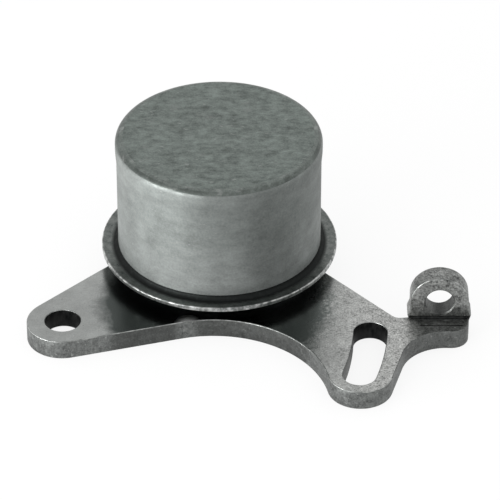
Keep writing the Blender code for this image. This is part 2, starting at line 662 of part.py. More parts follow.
def build_snap_ring():
    """The open ring sprung into the cup's groove, with a lug and a plier hole at each end."""
    outer = SNAP_GROOVE_RADIUS - SEAT_GAP
    inner = outer - SNAP_WIDTH
    lug_circle = inner + SNAP_LUG_INSET
    first = -math.pi / 2 + SNAP_GAP_ANGLE / 2
    last = first + 2 * math.pi - SNAP_GAP_ANGLE
    lug_turn = SNAP_LUG_RADIUS / lug_circle
    ends = (last - lug_turn, first + lug_turn)
    lugs = [(lug_circle * math.cos(end), lug_circle * math.sin(end)) for end in ends]
    bows = [arc(lug, SNAP_LUG_RADIUS, end + math.pi / 2, end + 1.5 * math.pi) for lug, end in zip(lugs, ends)]
    clear = 2 * lug_turn + SNAP_LUG_INSET / lug_circle
    band = arc((0, 0), outer, first, last)
    inside = arc((0, 0), inner, last - clear, first + clear)
    holes = [clean_loop(arc(lug, SNAP_LUG_HOLE_RADIUS, 2 * math.pi, 0.0)) for lug in lugs]
    lift = Matrix.Translation((0, 0, SNAP_BOTTOM + SNAP_THICKNESS / 2))
    outline = clean_loop(band + bows[0] + inside + bows[1])
    return place("snap_ring", flat_solid("snap_ring", [outline, *holes], SNAP_THICKNESS, lift), SPRING_STEEL)


def build_cup():
    """The pulley: a deep cup with a closed end, a belt face, a gutter and a flange, bored for the bearing."""
    flange_top = CUP_BOTTOM + FLANGE_THICKNESS
    gutter = (BELT_FACE_RADIUS + GUTTER_RADIUS, flange_top - GUTTER_DEPTH + GUTTER_RADIUS)
    step = CUP_TOP - RIM_HEIGHT
    bore = CUP_BORE_RADIUS
    cavity = bore - CUP_SHOULDER
    rim = (RIM_RADIUS - CUP_CORNER_RADIUS, CUP_TOP - CUP_CORNER_RADIUS)
    inner_corner = (cavity - CUP_INNER_CORNER, CUP_CEILING - CUP_INNER_CORNER)
    edge = FLANGE_EDGE_ROUND
    points = [
        (0.0, CUP_TOP),
        *arc(rim, CUP_CORNER_RADIUS, math.pi / 2, 0.0),
        (RIM_RADIUS, step + RIM_STEP),
        (BELT_FACE_RADIUS, step),
        *arc(gutter, GUTTER_RADIUS, math.pi, 1.5 * math.pi),
        (FLANGE_RADIUS - edge, flange_top),
        (FLANGE_RADIUS, flange_top - edge),
        (FLANGE_RADIUS, CUP_BOTTOM + edge),
        (FLANGE_RADIUS - edge, CUP_BOTTOM),
        (bore + CUP_MOUTH_CHAMFER, CUP_BOTTOM),
        (bore, CUP_BOTTOM + CUP_MOUTH_CHAMFER),
        (bore, SNAP_BOTTOM - SEAT_GAP),
        (SNAP_GROOVE_RADIUS, SNAP_BOTTOM - SEAT_GAP),
        (SNAP_GROOVE_RADIUS, BEARING_BOTTOM),
        (bore, BEARING_BOTTOM),
        (bore, BEARING_TOP + SEAT_GAP),
        (cavity, BEARING_TOP + SEAT_GAP),
        *arc(inner_corner, CUP_INNER_CORNER, 0.0, math.pi / 2),
        (0.0, CUP_CEILING),
    ]
    cup = place("pulley_cup", profile_mesh("pulley_cup", points, False), CUP_STEEL)
    return turn(cup, CUP_SEGMENTS)


def joint_axis(name):
    """An empty on the pulley's axis, which carries the pieces that turn together."""
    empty = bpy.data.objects.new(name, None)
    PARTS.objects.link(empty)
    return empty


pulley_axis = joint_axis("pulley_axis")
build_plate()
build_pin()
build_stack()
for piece in (build_cup(), build_snap_ring(), build_outer_ring()):
    piece.parent = pulley_axis

for row, inward, outer_end in (("lower", 1, BEARING_BOTTOM), ("upper", -1, BEARING_TOP)):
    row_height = BEARING_MIDDLE - inward * ROW_SPACING / 2
    cage_axis = joint_axis("cage_" + row + "_axis")
    build_inner_ring("inner_ring_" + row, row_height, outer_end, BEARING_MIDDLE - inward * SEAT_GAP / 2)
    build_seal("seal_" + row, outer_end, inward).parent = pulley_axis
    build_cage("cage_" + row, row_height, inward).parent = cage_axis
    build_balls(row, row_height, cage_axis)
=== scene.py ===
import math

import bpy
from mathutils import Matrix, Vector


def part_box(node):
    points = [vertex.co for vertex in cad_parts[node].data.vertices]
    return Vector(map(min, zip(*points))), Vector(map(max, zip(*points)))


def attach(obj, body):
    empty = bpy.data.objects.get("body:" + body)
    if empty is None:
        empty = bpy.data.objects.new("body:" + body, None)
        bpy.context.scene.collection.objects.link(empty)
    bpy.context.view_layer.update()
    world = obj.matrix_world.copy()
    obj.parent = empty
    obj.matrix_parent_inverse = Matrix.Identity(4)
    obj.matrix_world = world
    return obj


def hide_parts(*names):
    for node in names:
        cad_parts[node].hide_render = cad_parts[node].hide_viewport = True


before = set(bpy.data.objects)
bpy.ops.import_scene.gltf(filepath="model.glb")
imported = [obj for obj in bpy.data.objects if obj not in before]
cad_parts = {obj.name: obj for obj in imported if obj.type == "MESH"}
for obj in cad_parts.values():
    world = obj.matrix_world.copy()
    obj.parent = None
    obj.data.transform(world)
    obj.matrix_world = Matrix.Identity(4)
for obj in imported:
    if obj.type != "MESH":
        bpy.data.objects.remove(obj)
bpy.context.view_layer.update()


# Base plate: one piece of mild steel, blanked with its slot and holes, its ear then bent up from the edge.
# The press rounded its edges a little, tore its cut walls rough and left an imprint in front of the bend.
MM = 0.001
QUARTER = math.pi / 2
WELD = 0.001 * MM
FLAT_ERROR = 0.008 * MM
WIDEST_STEP = math.radians(5)
SHORTEST_LINE = 0.01 * MM
SMOOTH_ANGLE = math.radians(32)
SQUARE = math.cos(math.radians(0.2))
BROAD_FACE = 12 * MM**2
PLATE_THICKNESS = 6.0 * MM
PLATE_ROUND = 0.35 * MM
PIVOT = (-44.8 * MM, -32.9 * MM)
PIVOT_HOLE = 5.15 * MM
PIVOT_LOBE = 10.4 * MM
BOSS_X = -1.45 * MM
BOSS = 18.2 * MM
SLOT_ARC = 88.4 * MM
SLOT_NEAR = math.radians(-3.6)
SLOT_FAR = math.radians(-16.8)
SLOT_HALF_WIDTH = 4.8 * MM
SLOT_LOBE = 9.3 * MM
SLOT_LOBE_SHIFT = 0.95 * MM
SCOOP = 33.2 * MM
SCOOP_DISTANCE = 32.6 * MM
EAR_HALF_WIDTH = 8.4 * MM
EAR_FROM_SLOT = 6.75 * MM
EAR_HOLE = 4.1 * MM
EAR_BEND = 5.3 * MM
EAR_ROOT_OVERLAP = 0.7 * MM
EAR_ROOT_FILLET = 0.7 * MM
EAR_FOOT_STEP = 0.2 * MM
EAR_BULGE = 0.75 * MM
EAR_BULGE_HEIGHTS = (-1.0 * MM, 0.8 * MM, 2.9 * MM)
FOOT_CORNER = 5.0 * MM
FOOT_HOLLOW = 13.5 * MM
FOOT_HOLLOW_ANGLE = math.radians(-94.3)
FOOT_LENGTH = 6.7 * MM
RELIEF = 3.1 * MM
RELIEF_OFFSET = 0.3 * MM
IMPRINT_HALF_WIDTH = 6.7 * MM
IMPRINT_LENGTH = 3.5 * MM
IMPRINT_OFFSET = 0.5 * MM
IMPRINT_CORNER = 0.8 * MM
IMPRINT_DEPTH = 0.35 * MM
DIE_MARK_HALF_WIDTH = 0.4 * MM
DIE_MARK_DEPTH = 0.55 * MM
PIN_HOLE = 8.3 * MM
PIN_HOLE_FLARE = 1.2 * MM
CUTTER_EXCESS = 1.0 * MM
# Painted shade of the cup on the plate's top, and a pale painted reflection spot inside it.
CUP_SHADE_CENTRE = (-1.0 * MM, -25.0 * MM)
CUP_SHADE_REACH = 33.0 * MM
CUP_SHADE_FADE = 2.5 * MM
CUP_SHADE_RAGGED = (1.5 * MM, 3.5 * MM)
REFLECTION_SPOT = (-8.8 * MM, -34.2 * MM, 4.2 * MM)

plate_low, plate_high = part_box("base_plate")
ear_x = plate_high.x - EAR_HALF_WIDTH - EAR_BULGE
ear_hole_z = plate_high.z - EAR_HALF_WIDTH
ear_front = PIVOT[1] + SLOT_ARC * math.sin(SLOT_NEAR) + EAR_FROM_SLOT
ear_rear = ear_front + PLATE_THICKNESS


def arc(centre, radius, start, end):
    """Points along an arc from one angle to another."""
    step = min(WIDEST_STEP, 2 * math.acos(1 - FLAT_ERROR / radius))
    count = max(2, math.ceil(abs(end - start) / step))
    angles = [start + (end - start) * i / count for i in range(count + 1)]
    return [(centre[0] + radius * math.cos(a), centre[1] + radius * math.sin(a)) for a in angles]


def without_repeats(points):
    """The closed line, less each point that all but repeats the one before it."""
    return [p for p, q in zip(points, points[-1:] + points[:-1]) if math.dist(p, q) > SHORTEST_LINE]


def outline(circles):
    """Anticlockwise closed line that touches circles (x, y, radius) in turn.

    A positive radius bulges out, a negative one hollows the line, and zero is a sharp corner.
    """
    leaving = []
    for a, b in zip(circles, circles[1:] + circles[:1]):
        lean = max(-1.0, min(1.0, (a[2] - b[2]) / math.hypot(b[0] - a[0], b[1] - a[1])))
        leaving.append(math.atan2(b[1] - a[1], b[0] - a[0]) - math.acos(lean))
    points = []
    for index, (x, y, radius) in enumerate(circles):
        arrive = leaving[index - 1]
        sweep = (leaving[index] - arrive) % (2 * math.pi)
        if radius > 0:
            points += arc((x, y), radius, arrive, arrive + sweep)
        elif radius < 0:
            points += arc((x, y), -radius, arrive + math.pi, arrive - math.pi + sweep)
        else:
            points.append((x, y))
    return without_repeats(points)


def along_slot(angle, radius):
    """Point at a radius from the pivot hole, in a direction."""
    return (PIVOT[0] + radius * math.cos(angle), PIVOT[1] + radius * math.sin(angle))


def only(piece):
    """Select one object and make it the active one."""
    bpy.ops.object.select_all(action="DESELECT")
    piece.select_set(True)
    bpy.context.view_layer.objects.active = piece


def flat_piece(name, lines, thickness, edge_round=0.0, steps=3):
    """A flat solid between plus and minus half its thickness, its rims rounded; holes run clockwise."""
    drawing = bpy.data.curves.new(name, "CURVE")
    drawing.dimensions = "2D"
    drawing.fill_mode = "BOTH"
    drawing.extrude = thickness / 2 - edge_round
    drawing.bevel_depth = edge_round
    drawing.bevel_resolution = steps
    drawing.offset = -edge_round
    for line in lines:
        spline = drawing.splines.new("POLY")
        spline.points.add(len(line) - 1)
        for point, (x, y) in zip(spline.points, line):
            point.co = (x, y, 0.0, 1.0)
        spline.use_cyclic_u = True
    piece = bpy.data.objects.new(name, drawing)
    bpy.context.collection.objects.link(piece)
    only(piece)
    bpy.ops.object.convert(target="MESH")
    bpy.ops.object.mode_set(mode="EDIT")
    bpy.ops.mesh.select_all(action="SELECT")
    bpy.ops.mesh.remove_doubles(threshold=WELD)
    bpy.ops.mesh.normals_make_consistent(inside=False)
    bpy.ops.object.mode_set(mode="OBJECT")
    return piece


def settle(piece, place=Matrix.Identity(4)):
    """Move a piece and write its place into its mesh."""
    only(piece)
    piece.matrix_world = place @ piece.matrix_world
    bpy.ops.object.transform_apply(location=True, rotation=True, scale=True)
    return piece


def standing(x_axis, y_axis, origin):
    """Matrix that lays a flat drawing's X and Y along two directions."""
    z_axis = Vector(x_axis).cross(Vector(y_axis))
    axes = Matrix((x_axis, y_axis, z_axis)).transposed().to_4x4()
    return Matrix.Translation(origin) @ axes


def combine(piece, tool, operation):
    """Join, cut or trim a piece with another solid, which is then used up."""
    only(piece)
    boolean = piece.modifiers.new("combine", "BOOLEAN")
    boolean.object = tool
    boolean.operation = operation
    boolean.solver = "EXACT"
    bpy.ops.object.modifier_apply(modifier=boolean.name)
    bpy.data.objects.remove(tool, do_unlink=True)


def turned(name, section, segments=192, closed=True):
    """Draw a circle along a section of (radius, height) points; an open section gets flat ends."""
    bpy.ops.object.select_all(action="DESELECT")
    bpy.ops.mesh.primitive_circle_add(vertices=segments, radius=section[0][0], location=(0, 0, section[0][1]))
    piece = bpy.context.object
    piece.name = name
    bpy.ops.object.mode_set(mode="EDIT")
    bpy.ops.mesh.select_all(action="SELECT")
    if not closed:
        bpy.ops.mesh.edge_face_add()
    path = section + section[:1] if closed else section
    for (radius, height), (next_radius, next_height) in zip(path, path[1:]):
        rise = {"value": (0, 0, next_height - height)}
        bpy.ops.mesh.extrude_region_move(TRANSFORM_OT_translate=rise)
        bpy.ops.transform.resize(value=(next_radius / radius, next_radius / radius, 1))
    bpy.ops.mesh.select_all(action="SELECT")
    bpy.ops.mesh.remove_doubles(threshold=WELD)
    bpy.ops.mesh.normals_make_consistent(inside=False)
    bpy.ops.object.mode_set(mode="OBJECT")
    return settle(piece)


def smooth(piece):
    """Shade a piece smooth, with its corners sharp and its broad faces flat right up to their edges."""
    only(piece)
    bpy.ops.object.mode_set(mode="EDIT")
    bpy.ops.mesh.select_all(action="SELECT")
    bpy.ops.mesh.remove_doubles(threshold=WELD)
    bpy.ops.mesh.select_mode(type="FACE")
    bpy.ops.mesh.select_all(action="DESELECT")
    bpy.ops.object.mode_set(mode="OBJECT")
    for face in piece.data.polygons:
        square = max(abs(face.normal.y), abs(face.normal.z)) > SQUARE
        face.select = square or face.area > BROAD_FACE
    bpy.ops.object.mode_set(mode="EDIT")
    bpy.ops.mesh.mod_weighted_strength(set=True, face_strength="STRONG")
    bpy.ops.mesh.select_mode(type="VERT")
    bpy.ops.object.mode_set(mode="OBJECT")
    bpy.ops.object.shade_smooth_by_angle(angle=SMOOTH_ANGLE)
    weighted = piece.modifiers.new("flat_faces", "WEIGHTED_NORMAL")
    weighted.mode = "CORNER_ANGLE"
    weighted.keep_sharp = True
    weighted.use_face_influence = True
    bpy.ops.object.modifier_apply(modifier=weighted.name)


def fit(piece, body, nodes, finish):
    """Give a piece its finish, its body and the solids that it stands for."""
    piece.data.materials.clear()
    piece.data.materials.append(finish)
    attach(piece, body)
    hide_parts(*nodes)


def plate_line():
    """The plate's plan view: scooped in front, round at its lobes, hollowed into its foot."""
    lobe = along_slot(SLOT_FAR + SLOT_LOBE_SHIFT / SLOT_ARC, SLOT_ARC)
    corner = (ear_x + EAR_HALF_WIDTH - FOOT_CORNER, ear_front - FOOT_LENGTH + FOOT_CORNER)
    reach = FOOT_HOLLOW + FOOT_CORNER
    hollow = (
        corner[0] + reach * math.cos(FOOT_HOLLOW_ANGLE),
        corner[1] + reach * math.sin(FOOT_HOLLOW_ANGLE),
    )
    root = ear_front + EAR_ROOT_OVERLAP
    relief = (ear_x - EAR_HALF_WIDTH - RELIEF + RELIEF_OFFSET, ear_front + RELIEF + RELIEF_OFFSET)
    near, far = SCOOP_DISTANCE + SCOOP, SCOOP + SLOT_LOBE
    way = Vector(lobe)
    along = (near**2 - far**2 + way.length**2) / (2 * way.length)
    unit = way.normalized()
    scoop = unit * along + Vector((unit.y, -unit.x)) * math.sqrt(near**2 - along**2)
    return outline([
        (*lobe, SLOT_LOBE),
        (*hollow, -FOOT_HOLLOW),
        (*corner, FOOT_CORNER),
        (ear_x + EAR_HALF_WIDTH, root, 0.0),
        (relief[0] + RELIEF + EAR_BULGE, root, 0.0),
        (*relief, -RELIEF),
        (BOSS_X, 0.0, BOSS),
        (*PIVOT, PIVOT_LOBE),
        (*scoop, -SCOOP),
    ])


def slot_line():
    """The slot: an arc about the pivot hole with round ends, clockwise."""
    half = SLOT_HALF_WIDTH
    near, far = along_slot(SLOT_NEAR, SLOT_ARC), along_slot(SLOT_FAR, SLOT_ARC)
    return without_repeats(
        arc(PIVOT, SLOT_ARC + half, SLOT_FAR, SLOT_NEAR)
        + arc(near, half, SLOT_NEAR, SLOT_NEAR + 2 * QUARTER)
        + arc(PIVOT, SLOT_ARC - half, SLOT_NEAR, SLOT_FAR)
        + arc(far, half, SLOT_FAR + 2 * QUARTER, SLOT_FAR + 4 * QUARTER)
    )[::-1]


def ear_front_line():
    """The ear from the front, in X and Z: a full round top, and a bulge where the bend upset the metal."""
    top = PLATE_THICKNESS
    foot = EAR_HALF_WIDTH + EAR_FOOT_STEP
    wide = EAR_HALF_WIDTH + EAR_BULGE
    low, peak, high = EAR_BULGE_HEIGHTS
    side = [(foot, 0.0), (foot, top + low), (wide, top + peak), (EAR_HALF_WIDTH, top + high)]
    right = [(ear_x + x, z) for x, z in side]
    left = [(ear_x - x, z) for x, z in reversed(side)]
    return without_repeats(right + arc((ear_x, ear_hole_z), EAR_HALF_WIDTH, 0.0, math.pi) + left)


def ear_side_line():
    """The ear from its side, in Y and Z: flat in front, with the plate's bend behind."""
    bend = arc((ear_rear - EAR_BEND, EAR_BEND), EAR_BEND, -QUARTER, 0.0)
    above, front = plate_high.z + CUTTER_EXCESS, ear_front - CUTTER_EXCESS
    behind = ear_rear + CUTTER_EXCESS
    return [(front, -CUTTER_EXCESS), (bend[0][0], -CUTTER_EXCESS)] + bend + [
        (behind, EAR_BEND), (behind, above), (front, above),
    ]


pivot_line = without_repeats(arc(PIVOT, PIVOT_HOLE, 2 * math.pi, 0.0))
plate = flat_piece("plate_with_ear", [plate_line(), pivot_line, slot_line()], PLATE_THICKNESS, PLATE_ROUND)
settle(plate, Matrix.Translation((0, 0, PLATE_THICKNESS / 2)))
ear = flat_piece("ear", [ear_front_line()], PLATE_THICKNESS, PLATE_ROUND)
settle(ear, standing((1, 0, 0), (0, 0, 1), (0, (ear_front + ear_rear) / 2, 0)))
ear_side = flat_piece("ear_side", [ear_side_line()], 4 * EAR_HALF_WIDTH)
combine(ear, settle(ear_side, standing((0, 1, 0), (0, 0, 1), (ear_x, 0, 0))), "INTERSECT")
combine(plate, ear, "UNION")

fillet_y, fillet_z = ear_front - EAR_ROOT_FILLET, PLATE_THICKNESS + EAR_ROOT_FILLET
fillet_line = arc((fillet_y, fillet_z), EAR_ROOT_FILLET, -QUARTER, 0.0)
fillet_line += [(ear_front + EAR_ROOT_FILLET, fillet_z), (ear_front + EAR_ROOT_FILLET, PLATE_THICKNESS / 2)]
fillet_line += [(fillet_y, PLATE_THICKNESS / 2)]
root_fillet = flat_piece("root_fillet", [fillet_line], 2 * (EAR_HALF_WIDTH - PLATE_ROUND))
combine(plate, settle(root_fillet, standing((0, 1, 0), (0, 0, 1), (ear_x, 0, 0))), "UNION")

pin_hole = turned("pin_hole", [
    (PIN_HOLE + PLATE_ROUND + CUTTER_EXCESS, PLATE_THICKNESS + CUTTER_EXCESS),
    (PIN_HOLE, PLATE_THICKNESS - PLATE_ROUND),
    (PIN_HOLE, PIN_HOLE_FLARE),
    (PIN_HOLE + PIN_HOLE_FLARE + CUTTER_EXCESS, -CUTTER_EXCESS),
], 128, closed=False)
combine(plate, pin_hole, "DIFFERENCE")
ear_hole = turned("ear_hole", [
    (EAR_HOLE + PLATE_ROUND + CUTTER_EXCESS, -CUTTER_EXCESS),
    (EAR_HOLE, PLATE_ROUND),
    (EAR_HOLE, PLATE_THICKNESS - PLATE_ROUND),
    (EAR_HOLE + PLATE_ROUND + CUTTER_EXCESS, PLATE_THICKNESS + CUTTER_EXCESS),
], 96, closed=False)
settle(ear_hole, standing((1, 0, 0), (0, 0, -1), (ear_x, ear_front, ear_hole_z)))
combine(plate, ear_hole, "DIFFERENCE")

imprint_x = ear_x + IMPRINT_OFFSET
imprint_near = ear_front - IMPRINT_LENGTH + IMPRINT_CORNER
imprint_far = ear_front - 2 * IMPRINT_CORNER
imprint_side = IMPRINT_HALF_WIDTH - IMPRINT_CORNER
imprint = flat_piece("imprint", [outline([
    (imprint_x - imprint_side, imprint_near, IMPRINT_CORNER),
    (imprint_x + imprint_side, imprint_near, IMPRINT_CORNER),
    (imprint_x + imprint_side, imprint_far, IMPRINT_CORNER),
    (imprint_x - imprint_side, imprint_far, IMPRINT_CORNER),
])], 2 * IMPRINT_DEPTH)
combine(plate, settle(imprint, Matrix.Translation((0, 0, PLATE_THICKNESS))), "DIFFERENCE")
die_mark = flat_piece("die_mark", [outline([
    (imprint_x - imprint_side, imprint_near - IMPRINT_CORNER, DIE_MARK_HALF_WIDTH),
    (imprint_x + imprint_side, imprint_near - IMPRINT_CORNER, DIE_MARK_HALF_WIDTH),
])], 2 * DIE_MARK_DEPTH)
combine(plate, settle(die_mark, Matrix.Translation((0, 0, PLATE_THICKNESS))), "DIFFERENCE")
smooth(plate)


def new_finish(name, metallic=1.0):
    """A material with a shader, which is bare metal unless told otherwise."""
    finish = bpy.data.materials.new(name)
    finish.use_nodes = True
    shader_of(finish).inputs["Metallic"].default_value = metallic
    return finish


def shader_of(finish):
    """The material's shader."""
    return finish.node_tree.nodes["Principled BSDF"]


def add(finish, kind, links=(), **values):
    """Add one node; links join its inputs to other nodes' outputs, and values set its own properties."""
    tree = finish.node_tree
    node = tree.nodes.new(kind)
    for name, value in values.items():
        setattr(node, name, value)
    for socket, source in links:
        if hasattr(source, "links"):
            tree.links.new(source, node.inputs[socket])
        else:
            node.inputs[socket].default_value = source
    return node


def own_space(finish, stretch=(1, 1, 1), turn=(0, 0, 0)):
    """The piece's own coordinates, stretched and turned."""
    place = add(finish, "ShaderNodeTexCoord").outputs["Object"]
    links = [("Vector", place), ("Scale", stretch), ("Rotation", turn)]
    return add(finish, "ShaderNodeMapping", links).outputs[0]


def clouds(finish, size, detail=4.0, stretch=(1, 1, 1), turn=(0, 0, 0), rough=0.55):
    """Soft noise whose blotches are about a size across."""
    place = own_space(finish, stretch, turn)
    links = [("Vector", place), ("Scale", 1 / size), ("Detail", detail), ("Roughness", rough)]
    return add(finish, "ShaderNodeTexNoise", links).outputs["Fac"]


def within(finish, source, low, high, to_low=0.0, to_high=1.0):
    """Map a range of values to another, held at its ends."""
    links = [("Value", source), ("From Min", low), ("From Max", high)]
    links += [("To Min", to_low), ("To Max", to_high)]
    return add(finish, "ShaderNodeMapRange", links).outputs[0]


def times(finish, first, second):
    """Two values multiplied."""
    return add(finish, "ShaderNodeMath", [(0, first), (1, second)], operation="MULTIPLY").outputs[0]


def plus(finish, first, second):
    """Two values added."""
    return add(finish, "ShaderNodeMath", [(0, first), (1, second)], operation="ADD").outputs[0]


def paint(finish, factor, colour, other):
    """One colour or the other, by a factor."""
    return add(finish, "ShaderNodeMix", [(0, factor), (6, colour), (7, other)], data_type="RGBA").outputs[2]


def finish_with(finish, colour, roughness, heights):
    """Give the shader its colour, roughness and bump: heights, each with the depth of its full range."""
    normal = None
    for height, depth in heights:
        links = [("Height", height), ("Distance", depth), ("Strength", 1.0)]
        if normal:
            links.append(("Normal", normal))
        normal = add(finish, "ShaderNodeBump", links).outputs[0]
    for socket, source in (("Base Color", colour), ("Roughness", roughness), ("Normal", normal)):
        finish.node_tree.links.new(source, shader_of(finish).inputs[socket])
    return finish


def mottled(finish, colour, noises):
    """A colour made lighter and darker by noises, each with the share of the colour that it swings by."""
    tone = 1.0
    for noise, swing in noises:
        tone = plus(finish, tone, times(finish, within(finish, noise, 0.25, 0.75, -1.0, 1.0), swing))
    links = [(0, 1.0), (6, colour), (7, tone)]
    return add(finish, "ShaderNodeMix", links, data_type="RGBA", blend_type="MULTIPLY").outputs[2]


def flecks(finish, size, bite, stretch=(1, 1, 1)):
    """Small uneven marks: noise cut off high up."""
    return within(finish, clouds(finish, size, 2, stretch), bite, bite + 0.04)


def scratches(finish, length, width, turn, bite):
    """Fine lines in one direction: noise drawn out along them and cut off high up."""
    lines = clouds(finish, width, 1.5, (width / length, 1, width / length), (0, 0, turn))
    return within(finish, lines, bite, bite + 0.06)


def part_of(finish, axis, low, high):
    """Nought below one place along an axis, and one above another."""
    return within(finish, parts_of_place(finish)[axis], low, high)


def parts_of_place(finish):
    """X, Y and Z on the piece."""
    return add(finish, "ShaderNodeSeparateXYZ", [(0, own_space(finish))]).outputs


def distance(finish, across, along):
    """Length of a side across and a side along."""
    square = plus(finish, times(finish, across, across), times(finish, along, along))
    return add(finish, "ShaderNodeMath", [(0, square), (1, 0.5)], operation="POWER").outputs[0]


def distance_from(finish, centre):
    """Distance in plan from a point to each place on the piece."""
    place = parts_of_place(finish)
    return distance(finish, plus(finish, place[0], -centre[0]), plus(finish, place[1], -centre[1]))


def painted_reflection_spot(finish):
    """One pale, dull spot by the scoop: a painted reflection of the cup's bright side, which breaks the
    painted shade.
    """
    return within(finish, distance_from(finish, REFLECTION_SPOT[:2]), REFLECTION_SPOT[2], REFLECTION_SPOT[2] / 3)


def painted_cup_shade(finish):
    """Painted shade on the plate, for the cup's dark reflection and shadow: round a point before the cup, but
    for one painted reflection spot.

    Its edge is more ragged towards the ear.
    """
    ragged = part_of(finish, 0, 0.0, CUP_SHADE_REACH)
    reach = distance_from(finish, CUP_SHADE_CENTRE)
    for size, swing in ((4 * MM, CUP_SHADE_RAGGED[0]), (1.2 * MM, times(finish, ragged, CUP_SHADE_RAGGED[1]))):
        noise = within(finish, clouds(finish, size, 4, rough=0.7), 0.3, 0.7, -1.0, 1.0)
        reach = plus(finish, reach, times(finish, noise, swing))
    cup_shade = within(finish, reach, CUP_SHADE_REACH + CUP_SHADE_FADE, CUP_SHADE_REACH - CUP_SHADE_FADE)
    return times(finish, cup_shade, plus(finish, 1.0, times(finish, painted_reflection_spot(finish), -1.0)))


def rolled_steel():
    """Rolled faces: dull grey, clouded, coarser towards the ear; grime and painted shade at the ear's foot;
    painted shade of the cup on top before it, with a pale painted reflection spot.
    """
    finish = new_finish("rolled_steel")
    blotches = clouds(finish, 9 * MM, 5)
    smudges = clouds(finish, 2.6 * MM, 4, rough=0.65)
    pores = clouds(finish, 1.1 * MM, 3)
    grain = clouds(finish, 0.5 * MM, 2)
    coarse = part_of(finish, 0, 18 * MM, 46 * MM)
    ear_side = part_of(finish, 0, 53 * MM, 59 * MM)
    # Grime and painted shade: darker on the ear's foot and low on the ear, where shade falls by the bend.
    grime_and_painted_shade = times(finish, ear_side, part_of(finish, 2, PLATE_THICKNESS + 5 * MM, PLATE_THICKNESS + 2 * MM))
    long_lines = scratches(finish, 14 * MM, 0.22 * MM, 0.5, 0.66)
    lines = plus(finish, long_lines, scratches(finish, 9 * MM, 0.2 * MM, -0.9, 0.68))
    colour = paint(finish, coarse, (0.3, 0.31, 0.302, 1), (0.37, 0.375, 0.365, 1))
    colour = paint(finish, ear_side, colour, (0.205, 0.21, 0.204, 1))
    colour = mottled(finish, colour, [
        (blotches, 0.16),
        (pores, within(finish, coarse, 0.0, 1.0, 0.06, 0.42)),
        (grain, within(finish, coarse, 0.0, 1.0, 0.08, 0.65)),
        (smudges, within(finish, ear_side, 0.0, 1.0, 0.06, 0.6)),
    ])
    colour = paint(finish, times(finish, grime_and_painted_shade, 0.55), colour, (0.06, 0.064, 0.06, 1))
    colour = paint(finish, times(finish, flecks(finish, 0.8 * MM, 0.7), 0.6), colour, (0.07, 0.072, 0.07, 1))
    colour = paint(finish, times(finish, flecks(finish, 1.2 * MM, 0.71), 0.5), colour, (0.55, 0.56, 0.55, 1))
    colour = paint(finish, times(finish, lines, 0.2), colour, (0.5, 0.51, 0.5, 1))
    # Painted shade where the plate mirrors the cup and lies in its shadow, eased lighter towards the right,
    # with a pale painted reflection spot.
    upper_face = part_of(finish, 2, 1 * MM, 3 * MM)
    cup_shade = times(finish, painted_cup_shade(finish), upper_face)
    reflection_spot = times(finish, painted_reflection_spot(finish), upper_face)
    shade_eased_right = part_of(finish, 0, 0.0, 12 * MM)
    # oil holds the colour of the painted shade.
    oil = paint(finish, shade_eased_right, (0.052, 0.06, 0.057, 1), (0.105, 0.118, 0.112, 1))
    colour = paint(finish, times(finish, cup_shade, 0.97), colour, oil)
    # A pale painted reflection spot, rougher than the plate round it.
    colour = paint(finish, times(finish, reflection_spot, 0.8), colour, (0.6, 0.61, 0.6, 1))
    dull = plus(finish, within(finish, blotches, 0.3, 0.7, 0.26, 0.2), times(finish, ear_side, 0.2))
    dull = plus(finish, dull, times(finish, reflection_spot, 0.4))
    return finish_with(finish, colour, plus(finish, dull, times(finish, coarse, 0.1)), [
        (blotches, 0.02 * MM),
        (times(finish, pores, coarse), 0.05 * MM),
        (times(finish, smudges, ear_side), 0.08 * MM),
    ])


def cut_steel():
    """Blanked walls: torn, with soft patches and faint streaks, with painted shade in the scoop and darker at
    the foot.
    """
    finish = new_finish("cut_steel")
    streaks = clouds(finish, 0.9 * MM, 4, (1, 1, 0.6))
    patches = clouds(finish, 3 * MM, 5, (1, 1, 1.6))
    grain = clouds(finish, 0.5 * MM, 2)
    colour = mottled(finish, (0.155, 0.161, 0.157, 1), [(patches, 0.35), (streaks, 0.25), (grain, 0.35)])
    colour = paint(finish, times(finish, flecks(finish, 0.9 * MM, 0.66), 0.5), colour, (0.4, 0.41, 0.4, 1))
    # Painted shade of the cup on the scoop's wall; the walls by the foot are only made darker.
    at_foot = part_of(finish, 0, 50 * MM, 57 * MM)
    painted_shade_and_dark_foot = plus(finish, times(finish, painted_cup_shade(finish), 0.68), times(finish, at_foot, 0.3))
    colour = paint(finish, painted_shade_and_dark_foot, colour, (0.05, 0.052, 0.05, 1))
    heights = [(streaks, 0.03 * MM), (patches, 0.03 * MM), (grain, 0.02 * MM)]
    return finish_with(finish, colour, within(finish, streaks, 0.3, 0.7, 0.42, 0.58), heights)


def worn_and_highlit_steel():
    """Rounded edges of the plate, brighter in patches: rubbed by handling, and partly painted highlights."""
    finish = new_finish("worn_and_highlit_steel")
    patches = clouds(finish, 2.2 * MM, 4)
    # The pale patches are wear and partly painted highlights.
    rubbed = within(finish, patches, 0.42, 0.62)
    colour = paint(finish, rubbed, (0.17, 0.177, 0.172, 1), (0.38, 0.39, 0.38, 1))
    return finish_with(finish, colour, within(finish, patches, 0.4, 0.6, 0.5, 0.34), [(patches, 0.04 * MM)])


